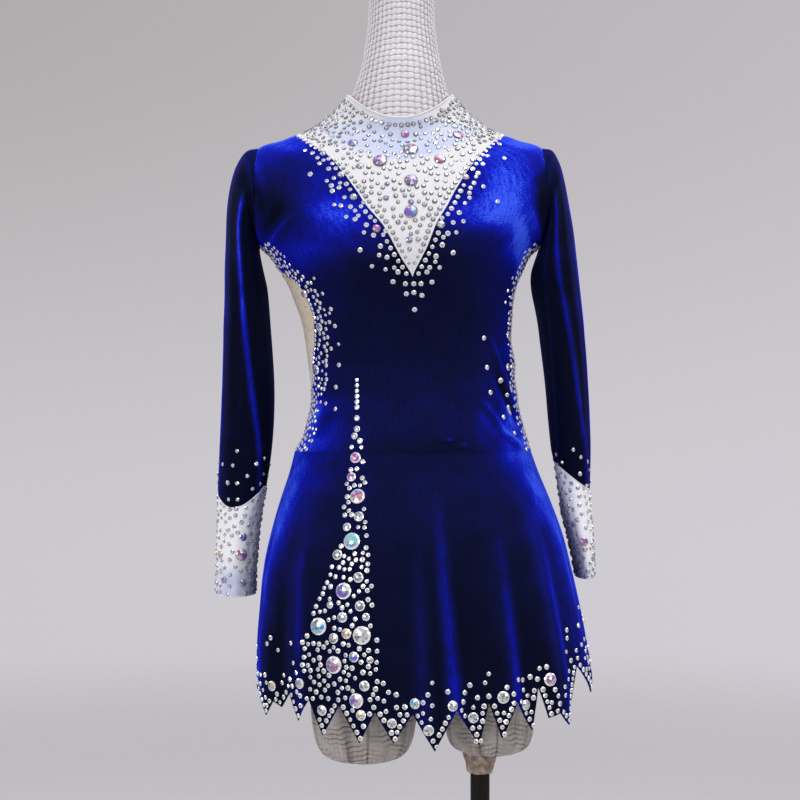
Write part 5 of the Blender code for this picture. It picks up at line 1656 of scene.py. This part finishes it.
def gemShape(sides, large):
    # A flat-backed cut stone one unit across: its points, its faces, and whether each lies round its rim.
    # A small one has a wall, a crown and a flat middle; a large one rises in rings of facets to a low point
    rings, top = gemCuts["large" if large else "small"]
    counts = [sides // part for radius, height, part, offset in rings]
    points = []
    for (radius, height, part, offset), count in zip(rings, counts):
        turns = (np.arange(count) + offset) * tau / count
        points.append(levelRing(radius * np.cos(turns), radius * np.sin(turns), height))
    starts = np.cumsum([0] + counts)
    faces = [list(range(sides - 1, -1, -1))]
    onRim = [False]
    for level in range(len(rings) - 1):
        flat = level == 0 or not large
        band = facetBand(starts[level], counts[level], starts[level + 1], counts[level + 1], flat)
        faces += band
        onRim += [level <= 1] * len(band)
    faces += [[starts[-2] + i, starts[-2] + (i + 1) % counts[-1], starts[-1]] for i in range(counts[-1])]
    onRim += [False] * counts[-1]
    return np.concatenate(points + [[[0.0, 0.0, top]]]), faces, np.array(onRim)


def addStones(setName, points, normals, diameters, leans):
    # Keeps a stone only where it clears every stone already set
    kept = stoneSets.setdefault(setName, [])
    for point, normal, diameter, lean in zip(points, normals, diameters, leans):
        if len(placed["points"]):
            gap = np.linalg.norm(placed["points"] - point, axis=1) - placed["radii"] - diameter / 2
            if gap.min() < smallStones["clearance"]:
                continue
        placed["points"] = np.vstack([placed["points"], point])
        placed["radii"] = np.append(placed["radii"], diameter / 2)
        kept.append((point, normal, diameter, lean))


def addPlainStones(setName, points, normals, size=smallStones["size"]):
    # Clear stones of uneven size at the given places
    low, high = size
    diameters = low + (high - low) * rng.random(len(points))
    addStones(setName, points, normals, diameters, np.zeros(len(points), dtype=int))


def spreadStones(setName, points, normals, gap, chance=None, size=smallStones["size"]):
    # Walks through the places in a shuffled order and takes each that lies far enough from the ones taken
    low, high = size
    taken = np.zeros((0, 3))
    for i in rng.permutation(len(points)):
        roll = rng.random(3)
        if chance is not None and roll[0] > chance[i]:
            continue
        if len(taken) and np.linalg.norm(taken - points[i], axis=1).min() < gap:
            continue
        taken = np.vstack([taken, points[i]])
        lean = 0 if roll[1] < smallStones["plainShare"] else int(1 + roll[2] * smallStones["coatPick"])
        diameter = low + (high - low) * roll[2] ** smallStones["sizePower"]
        addStones(setName, [points[i]], [normals[i]], [diameter], [lean])


def viewRay(seenX, seenY):
    # From the viewing point through a place in the picture
    scale = picture["width"] / picture["pixels"]
    eye = Vector((0.0, -picture["distance"], picture["height"]))
    half = picture["pixels"] / 2
    aim = Vector(((seenX - half) * scale, 0.0, picture["height"] + (half - seenY) * scale))
    return eye, (aim - eye).normalized()


def clothTree(names):
    # One search tree over the surfaces of the named cloth pieces
    points, faces = [], []
    for name in names:
        mesh = bpy.data.objects[name].data
        start = len(points)
        points += [vertex.co.copy() for vertex in mesh.vertices]
        faces += [[start + corner for corner in face.vertices] for face in mesh.polygons]
    return BVHTree.FromPolygons(points, faces)


def seatedAt(seenX, seenY, tree):
    # Where the line of sight meets the cloth, or the nearest cloth, and the way the cloth faces there
    eye, aim = viewRay(seenX, seenY)
    hit, normal = tree.ray_cast(eye, aim)[:2]
    if hit is None:
        hit, normal = tree.find_nearest(eye + aim * (picture["distance"] / aim.y))[:2]
    return np.array(hit), np.array(-normal if normal.dot(aim) > 0 else normal)


def seatLarge(setName, rows, tree):
    for seenX, seenY, diameter, lean in rows:
        point, normal = seatedAt(seenX, seenY, tree)
        addStones(setName, [point], [normal], [diameter / 1000], [lean])


def insidePolygon(places, corners):
    # Counts how many edges a line to the right of each place crosses
    inside = np.zeros(len(places), dtype=bool)
    for (x0, y0), (x1, y1) in zip(corners, corners[1:] + corners[:1]):
        crosses = (y0 > places[:, 1]) != (y1 > places[:, 1])
        reach = (x1 - x0) * (places[:, 1] - y0) / (y1 - y0 + 1e-12) + x0
        inside ^= crosses & (places[:, 0] < reach)
    return inside


def scatterOnBody(setName, first, last, edges, gap, count, chanceOf=None, size=smallStones["size"]):
    # Random places between two edges over a run of stations
    at = first + (last - first) * rng.random(count)
    share = rng.random(count)
    ends = np.array([edges(station) for station in at])
    theta = ends[:, 0] + (ends[:, 1] - ends[:, 0]) * share
    chance = chanceOf(at, share) if chanceOf else None
    spreadStones(setName, velvetPoint(theta, at), bodyNormal(theta, at), gap, chance, size)


def oneEdge(edges, number):
    return lambda at: edges(at)[number]


def bandBeside(edge, sign, metres, widen=0.0):
    # A band that starts at one edge and reaches some way along the ring, and by widen more above and below
    # the insert, where the edge lies out of sight
    def edges(at):
        first = edge(at)
        hidden = 1 - insertTurn(at) / insertTurn(bodyCut["insertWidest"])
        return first, first + sign * (metres + widen * hidden) / smallStones["turnRadius"]

    return edges


def lengthAlong(points):
    # The length of the path up to each of its points
    return np.concatenate([[0], np.cumsum(np.linalg.norm(np.diff(points, axis=0), axis=1))])


def edgeRow(setName, edge, first, last, spacing, inset, size=smallStones["size"]):
    # One row of stones along an edge, evenly spaced
    at = np.linspace(first, last, smallStones["edgeSteps"])
    theta = np.array([edge(station) for station in at]) + inset / smallStones["turnRadius"]
    length = lengthAlong(velvetPoint(theta, at))
    marks = np.arange(spacing / 2, length[-1], spacing)
    at, theta = (np.interp(marks, length, values) for values in (at, theta))
    addPlainStones(setName, velvetPoint(theta, at), bodyNormal(theta, at), size)


def ringRow(setName, at, spacing):
    # One row of stones round the body at a station, not quite evenly spaced
    turns = np.linspace(0, tau, smallStones["ringSteps"])
    length = lengthAlong(velvetPoint(turns, at))
    count = int(length[-1] / spacing)
    places = np.arange(count) + 0.5 + smallStones["ringUneven"] * (rng.random(count) - 0.5)
    theta = np.interp(places * length[-1] / count, length, turns)
    addPlainStones(setName, velvetPoint(theta, at), bodyNormal(theta, at))


bodyStones = {
    # rows beside the V: set, stations past the V's tip and past the neck point, spacing, how far out of the V
    "veeRows": [
        ("edgeStones", 0.05, -0.1, 0.0088, 0.0042), ("edgeStones", 0.25, -0.2, 0.015, 0.0118),
        ("yokeStones", 0.6, -0.1, 0.008, -0.004),
    ],
    # scattered beside the V: reach, gap, how many are tried, chance at the edge
    "veeBands": [(0.022, 0.0090, 300, 0.36), (0.038, 0.0130, 240, 0.20)],
    "veeThin": 0.6,
    "veeStations": (0.2, -0.3),
    # the collar's foot at the sides: turns in degrees, reach to each side, stations below neck and collar
    "footTurns": (200, 340),
    "footReach": 0.55,
    "footBelow": 0.6,
    "footGap": 0.0062,
    "footTries": 5000,
    # the yoke: station past the V's tip, inset of its edges, and how many are tried
    "yokeFrom": 0.3,
    "yokeInset": 0.03,
    "yokeTries": 6000,
    # the collar: rows round it by stations below its edge and spacing, and how far below it the scatter ends
    "collarRows": [(0.72, 0.0076), (1.10, 0.0080)],
    "collarUpTo": 0.70,
    "collarTries": 7500,
    # beside the front's side edges: way in, edge, share of the reach, and what it gains beyond the insert
    "waistSides": [(1, 0, 1.0, 0.036), (-1, 1, 0.8, 0.022)],
    "waistRow": {"from": 0.2, "spacing": 0.0056, "inset": 0.0030},
    # reach, gap, how many are tried, chance at the edge; thinner inwards, and away from the middle station
    "waistBands": [(0.026, 0.0057, 6000, 2.2), (0.044, 0.0100, 900, 0.30)],
    "waistFrom": 0.1,
    "waistThin": 0.85,
    "waistLeast": 0.40,
    "waistMiddle": 6.0,
    "waistSpread": 4.2,
    "backRow": {"ends": 0.2, "spacing": 0.0095, "inset": 0.0035},
}


def setNeckStones():
    cut = bodyStones
    tip, neck, collar = bodyCut["veeTip"], bodyCut["neckPoint"], bodyCut["collarEdge"]
    for number, sign in ((0, -1), (1, 1)):
        edge = oneEdge(veeEdges, number)
        for setName, first, last, spacing, inset in cut["veeRows"]:
            edgeRow(setName, edge, tip + first, neck + last, spacing, sign * inset)
        first, last = cut["veeStations"]
        for reach, gap, count, chance in cut["veeBands"]:
            scatterOnBody("edgeStones", tip + first, neck + last, bandBeside(edge, sign, reach), gap, count,
                          lambda at, share: chance * (1 - cut["veeThin"] * share))
    first, last = neck - cut["footBelow"], collar - cut["footBelow"]
    for turn in np.radians(cut["footTurns"]):
        ends = (turn - cut["footReach"], turn + cut["footReach"])
        scatterOnBody("yokeStones", first, last, lambda at: ends, cut["footGap"], cut["footTries"])
    inset = np.array([cut["yokeInset"], -cut["yokeInset"]])
    scatterOnBody("yokeStones", tip + cut["yokeFrom"], neck, lambda at: veeEdges(at) + inset,
                  smallStones["yokeGap"], cut["yokeTries"])
    for below, spacing in cut["collarRows"]:
        ringRow("yokeStones", collar - below, spacing)
    scatterOnBody("yokeStones", neck, collar - cut["collarUpTo"], lambda at: (0.0, tau),
                  smallStones["yokeGap"], cut["collarTries"])


def setWaistStones():
    cut = bodyStones
    row, back = cut["waistRow"], cut["backRow"]
    size = smallStones["waistSize"]
    last = bodyCut["underarm"] - cut["waistFrom"]

    def chanceOf(at, share):
        least = cut["waistLeast"]
        middle = least + (1 - least) * bump(at - cut["waistMiddle"], cut["waistSpread"])
        return chance * (1 - cut["waistThin"] * share) * middle

    for sign, number, wide, widen in cut["waistSides"]:
        edge = oneEdge(frontEdges, number)
        edgeRow("waistStones", edge, row["from"], last, row["spacing"], sign * row["inset"], size)
        for reach, gap, count, chance in cut["waistBands"]:
            band = bandBeside(edge, sign, reach * wide, widen)
            scatterOnBody("waistStones", cut["waistFrom"], last, band, gap, count, chanceOf, size)
    low, high = bodyCut["insertLow"] + back["ends"], bodyCut["insertHigh"] - back["ends"]
    for number, sign in ((1, -1), (0, 1)):
        edgeRow("waistStones", oneEdge(backEdges, number), low, high, back["spacing"], sign * back["inset"])


def setBodyStones():
    names = ["frontVelvet", "frontYoke", "collarBand", "skirtFront", "sideInsertRight", "sideInsertLeft"]
    tree = clothTree(names)
    for setName, key in (("yokeStones", "yoke"), ("waistStones", "waist"), ("edgeStones", "tip")):
        seatLarge(setName, largeStones[key], tree)
    setNeckStones()
    setWaistStones()


slitStones = {
    # the wedge that small stones fill, as seen in the 800 by 800 view, and the box round it
    "wedge": [
        (352, 431), (361, 431), (363, 440), (366, 500), (369, 560), (373, 600), (379, 650), (380, 700),
        (300, 700),
        (301, 640), (316, 605), (330, 575), (337, 540), (345, 500), (350, 450),
    ],
    "boxCorner": (295, 378),
    "boxSize": (90, 324),
    "tries": 5200,
}


def setSlitStones():
    cut = slitStones
    tree = clothTree(["frontVelvet", "skirtFront"])
    seatLarge("slitStones", largeStones["slit"], tree)
    seatLarge("hemStones", largeStones["hem"], tree)
    x, firstY, lastY, firstSize, lastSize, count = largeStones["slitTop"]
    row = [(x, y, size, 0) for y, size in zip(
        np.linspace(firstY, lastY, count), np.linspace(firstSize, lastSize, count))]
    seatLarge("slitStones", row, tree)
    box = zip(cut["boxCorner"], cut["boxSize"])
    places = np.stack([corner + size * rng.random(cut["tries"]) for corner, size in box], axis=-1)
    places = places[insidePolygon(places, cut["wedge"])]
    seats = np.array([seatedAt(seenX, seenY, tree) for seenX, seenY in places])
    spreadStones("slitStones", seats[:, 0], seats[:, 1], smallStones["slitGap"])


hemStones = {
    "rowSpacing": 0.0070,
    "rowInset": 0.0042,
    "radius": 0.20,
    # the scatter above: how many are tried, from where and how far up it reaches, and how it thins out there
    "tries": 5200,
    "from": 0.005,
    "reach": 0.078,
    "heightPower": 1.4,
    "chance": 0.80,
    "chanceLimits": (0.015, 0.75),
    "thinOver": 0.036,
}


def setHemStones():
    # A row just inside each slanting edge, and a scatter above that thins out upwards
    cut = hemStones
    for half in ("Front", "Back"):
        turns, heights = hemCorners(half)
        corners = np.stack([np.radians(turns) * cut["radius"], heights], axis=-1)
        places = []
        for start, end in zip(corners[:-1], corners[1:]):
            run = end - start
            length = np.hypot(*run)
            inward = np.array([-run[1], run[0]]) / length
            count = int(length / cut["rowSpacing"])
            shares = (np.arange(count) + 0.5)[:, None] / count
            places.append(start + run * shares + inward * cut["rowInset"])
        places = np.concatenate(places)
        theta, heights = places[:, 0] / cut["radius"], places[:, 1]
        addPlainStones("hemStones", skirtPoint(theta, heights), skirtNormal(theta, heights))
        theta = np.radians(turns[0] + 180 * rng.random(cut["tries"]))
        hem = np.interp(theta, corners[:, 0] / cut["radius"], corners[:, 1])
        heights = hem + cut["from"] + cut["reach"] * rng.random(cut["tries"]) ** cut["heightPower"]
        notches = np.interp(theta, corners[::2, 0] / cut["radius"], corners[::2, 1])
        chance = np.clip(cut["chance"] - (heights - notches) / cut["thinOver"], *cut["chanceLimits"])
        points, normals = skirtPoint(theta, heights), skirtNormal(theta, heights)
        spreadStones("hemStones", points, normals, smallStones["hemGap"], chance)


cuffStones = {
    "tries": 2600,
    "freeRows": 1,
    "lastColumn": 1.001,
    # scattered on the sleeve's last rows as well, thinner upwards
    "sleeveTries": 160,
    "sleeveRows": 11,
    "sleevePower": 0.6,
    "sleeveChance": 0.5,
}


def setCuffStones():
    # Random places on the cuffs' and the sleeves' own grids, on a cuff between four neighbouring points
    cut = cuffStones
    tree = clothTree(["cuffRight", "cuffLeft", "sleeveRight", "sleeveLeft"])
    seatLarge("cuffStones", largeStones["cuffs"], tree)
    for side, sign in (("right", 1), ("left", -1)):
        grid = sleeveGrids[side + "Cuff"]
        row = rng.random(cut["tries"]) * (grid.shape[0] - 2 - cut["freeRows"]) + cut["freeRows"]
        column = rng.random(cut["tries"]) * (grid.shape[1] - cut["lastColumn"])
        r, c = row.astype(int), column.astype(int)
        down, across = (row - r)[:, None], (column - c)[:, None]
        first = grid[r, c] * (1 - down) + grid[r + 1, c] * down
        second = grid[r, c + 1] * (1 - down) + grid[r + 1, c + 1] * down
        normals = -sign * unit(np.cross(grid[r, c + 1] - grid[r, c], grid[r + 1, c] - grid[r, c]))
        spreadStones("cuffStones", first * (1 - across) + second * across, normals, smallStones["cuffGap"])
        grid = sleeveGrids[side]
        rise = cut["sleeveRows"] * rng.random(cut["sleeveTries"]) ** cut["sleevePower"]
        r = (grid.shape[0] - 1 - cut["sleeveRows"] + rise).astype(int)
        c = (rng.random(cut["sleeveTries"]) * (grid.shape[1] - 1)).astype(int)
        normals = sign * unit(np.cross(grid[r, c + 1] - grid[r, c], grid[r - 1, c] - grid[r, c]))
        chance = np.full(cut["sleeveTries"], cut["sleeveChance"])
        spreadStones("cuffStones", grid[r, c], normals, smallStones["sleeveGap"], chance)


stoneTints = {
    # painted reflections in the silver facets round a stone and in its middle ones, on velvet, on pale mesh
    # and on the cuffs: bright round the rim on velvet, dark round it on the mesh
    "velvet": ((0.41, 0.48), (0.04, 0.38)),
    "mesh": ((0.00, 0.18), (0.04, 0.45)),
    "cuff": ((0.00, 0.40), (0.02, 0.45)),
    # the painted reflection on the flat middle of a small stone
    "table": {"velvet": (0.16, 0.34), "mesh": (0.12, 0.44), "cuff": (0.24, 0.48)},
    # the iridescent coat's colour by its lean: rose, violet and blue, aqua, gold
    "coat": {1: (0.60, 0.80), 2: (0.72, 0.90), 3: (0.86, 1.00), 4: (0.52, 0.58)},
    "coatShare": 0.50,
    "wedges": 10,
    # a slanting direction that no cloth here faces, from which each stone's turn is measured
    "skew": (0.31, 0.17, 0.93),
    # the colours that the tints above stand for
    "stops": [
        (0.0, (0.07, 0.07, 0.09)), (0.22, (0.46, 0.47, 0.5)), (0.45, (0.98, 0.98, 0.99)),
        (0.55, (0.9, 0.72, 0.3)), (0.64, (0.76, 0.12, 0.34)), (0.74, (0.38, 0.12, 0.7)),
        (0.84, (0.1, 0.15, 0.72)), (0.93, (0.18, 0.62, 0.8)), (1.0, (0.35, 0.85, 0.75)),
    ],
}


def stoneColours(gem, faces, onRim, lean, tints):
    # Silver facets, each with a painted reflection at random between dark and bright, and on a coated stone a
    # few wedges of colour across its middle
    wedges = stoneTints["wedges"]
    middles = np.array([gem[face].mean(axis=0) for face in faces])
    wedge = ((np.arctan2(middles[:, 1], middles[:, 0]) / tau + 1) * wedges).astype(int) % wedges
    roll = rng.random(len(faces))
    rim, middle = (low + (high - low) * roll for low, high in tints)
    # each facet's painted reflection
    paintedReflection = np.where(onRim, rim, middle)
    if lean == 0:
        return paintedReflection
    low, high = stoneTints["coat"][lean]
    coated = rng.random(wedges)[wedge] < stoneTints["coatShare"]
    hue = (low + (high - low) * rng.random(wedges))[wedge]
    return np.where(coated & ~onRim, hue, paintedReflection)


def gemAxes(normals):
    # Each stone's own axes: its back against the cloth, and a random turn about the way the cloth faces
    spin = (rng.random(len(normals)) * tau)[:, None]
    up = unit(normals)
    side = unit(np.cross(up, np.array(stoneTints["skew"])))
    first = side * np.cos(spin) + np.cross(up, side) * np.sin(spin)
    return np.stack([first, np.cross(up, first), up], axis=-1)


def buildStones(finish):
    # One mesh for each set: first its small stones and then its large ones, all copies of one shape each
    for setName, stones in stoneSets.items():
        cloth = {"yokeStones": "mesh", "cuffStones": "cuff"}.get(setName, "velvet")
        rim, middle = stoneTints[cloth]
        allPoints, allFaces, colours = [], [], []
        start = 0
        for large in (False, True):
            chosen = [stone for stone in stones if (stone[2] > smallStones["largeFrom"]) == large]
            if not chosen:
                continue
            gem, gemFaces, onRim = gemShape(smallStones["largeSides" if large else "sides"], large)
            centres, normals, size = (np.array([stone[part] for stone in chosen]) for part in range(3))
            shapes = np.einsum("nij,kj->nki", gemAxes(normals), gem) * size[:, None, None]
            allPoints.append((centres[:, None] + shapes).reshape(-1, 3))
            tints = (rim, middle if large else stoneTints["table"][cloth])
            for lean in [stone[3] for stone in chosen]:
                allFaces += [[corner + start for corner in face] for face in gemFaces]
                colours.append(stoneColours(gem, gemFaces, onRim, lean, tints))
                start += len(gem)
        mesh = makeMesh(setName, np.concatenate(allPoints), allFaces)
        setMeasure(mesh, "tint", "FACE", np.concatenate(colours))
        finishPiece(mesh, finish, smooth=False)
        print(setName, len(stones), "stones,", sum(len(face) - 2 for face in allFaces), "triangles")


def makeCrystal():
    # Foil-backed cut glass: facets whose painted reflections run from dark to mirror-bright, a few of them
    # tinted by the iridescent coat
    finish, tree, shader = newFinish(
        "crystal", Roughness=0.16, Metallic=0.40, Specular_IOR_Level=0.7, Coat_Weight=0.5,
        Coat_Roughness=0.03)
    colour = rampNode(tree, readMeasure(tree, "tint"), stoneTints["stops"])
    tree.links.new(colour, shader.inputs["Base Color"])
    spreadNodes(tree)
    return finish


# Stage: floor, light and camera

stageLook = {
    # the backdrop's colour to the left and right, high and low, as the camera sees it: painted shade up high
    # and to the left, painted light down low
    "highLeft": (0.430, 0.410, 0.412),
    "highRight": (0.520, 0.495, 0.525),
    "lowLeft": (0.600, 0.582, 0.618),
    "lowRight": (0.625, 0.605, 0.650),
    "ambientHigh": (0.46, 0.46, 0.47),
    "ambientLow": (0.14, 0.14, 0.15),
    "floor": (0.66, 0.64, 0.67),
    "lights": [
        # name, place, aimed at, size, watts
        ("overhead", (0.5, -0.7, 3.1), (0.05, 0.0, 1.2), 1.3, 24),
        ("frontLeft", (-1.9, -2.4, 1.7), (0.0, 0.0, 1.0), 0.9, 36),
        ("frontRight", (2.2, -2.1, 1.6), (0.0, 0.0, 1.0), 0.9, 22),
        ("backLeft", (-1.9, 1.2, 2.0), (0.0, 0.0, 1.1), 0.9, 16),
        ("backRight", (1.9, 1.4, 2.2), (0.0, 0.0, 1.1), 0.9, 16),
    ],
    # where the backdrop's colours run into each other, by the way that the camera looks up and across
    "backdropRise": (-0.12, 0.30),
    "backdropAcross": (-0.30, 0.30),
    "ambientRise": (-0.5, 0.7),
    "floorRadius": 9.0,
    "floorCorners": 128,
    "floorLevel": -0.0005,
    "floorFade": (1.2, 4.2),
}


def makeBackdrop():
    # The camera sees a soft backdrop of four colours with painted light and shade across the wall, and the
    # object gets plain light that fades downwards
    look = stageLook
    world = bpy.data.worlds.new("studio")
    bpy.context.scene.world = world
    world.use_nodes = True
    tree = world.node_tree
    aim = splitAxes(tree, addNode(tree, "ShaderNodeTexCoord").outputs["Generated"])
    rise = rangeNode(tree, aim["Z"], *look["backdropRise"], smooth=True)
    across = rangeNode(tree, aim["X"], *look["backdropAcross"])
    low, high = (mixColour(tree, across, look[key + "Left"], look[key + "Right"]) for key in ("low", "high"))
    backdrop = mixColour(tree, rise, low, high)
    glow = rangeNode(tree, aim["Z"], *look["ambientRise"])
    ambient = mixColour(tree, glow, look["ambientLow"], look["ambientHigh"])
    seen = addNode(tree, "ShaderNodeLightPath").outputs["Is Camera Ray"]
    tree.links.new(mixColour(tree, seen, ambient, backdrop), tree.nodes["Background"].inputs["Color"])
    spreadNodes(tree)


def makeFloor():
    # A round floor that fades out towards its edge
    look = stageLook
    turns = np.arange(look["floorCorners"]) * tau / look["floorCorners"]
    radius = look["floorRadius"]
    points = levelRing(radius * np.cos(turns), radius * np.sin(turns), look["floorLevel"])
    mesh = makeMesh("floor", points, [list(range(len(points)))])
    finish, tree, shader = newFinish("floorFinish", Roughness=0.8, Base_Color=(*look["floor"], 1.0))
    space = addNode(tree, "ShaderNodeTexCoord").outputs["Object"]
    distance = addNode(tree, "ShaderNodeVectorMath", {0: space}, operation="LENGTH").outputs["Value"]
    fade = rangeNode(tree, distance, *look["floorFade"], low=1.0, high=0.0, smooth=True)
    tree.links.new(fade, shader.inputs["Alpha"])
    spreadNodes(tree)
    mesh.materials.append(finish)
    floor = bpy.data.objects.new("floor", mesh)
    bpy.context.scene.collection.objects.link(floor)


def makeLights():
    for name, place, aim, size, watts in stageLook["lights"]:
        data = bpy.data.lights.new(name, "AREA")
        data.energy = watts
        data.size = size
        lamp = bpy.data.objects.new(name, data)
        lamp.location = place
        lamp.rotation_euler = (Vector(aim) - Vector(place)).to_track_quat("-Z", "Y").to_euler()
        bpy.context.scene.collection.objects.link(lamp)


def makeCamera():
    data = bpy.data.cameras.new("view")
    data.sensor_width = 36.0
    data.lens = data.sensor_width * picture["distance"] / picture["width"]
    camera = bpy.data.objects.new("view", data)
    camera.location = (0.0, -picture["distance"], picture["height"])
    camera.rotation_euler = (math.pi / 2, 0.0, 0.0)
    bpy.context.scene.collection.objects.link(camera)
    bpy.context.scene.camera = camera
    bpy.context.scene.view_settings.view_transform = "Standard"


makeBackdrop()
makeFloor()
makeLights()
makeCamera()
print("stage ready")
velvet = makeVelvet("stretchVelvet", velvetLook["skirt"], velvetLook["body"])
sleeveVelvet = makeVelvet("sleeveVelvet", velvetLook["sleeve"], velvetLook["sleeve"])
edging = makeFineMesh("edging")
makeFront(velvet)
makeBack(velvet)
makeYoke(makeFineMesh("yoke"))
makeCollar(makeFineMesh("collar"), edging)
makeInserts(makeFineMesh("insert"))
print("bodice ready")
makeSleeves(sleeveVelvet, makeFineMesh("cuff"), edging)
print("sleeves ready")
makeSkirt(velvet)
print("skirt ready")
makeForm(makeNetFinish())
makeStand(makeGrainFinish("paintedSteel"), makeGrainFinish("socketWrap"))
print("form and stand ready")
setBodyStones()
setSlitStones()
setHemStones()
setCuffStones()
buildStones(makeCrystal())
print("stones ready")
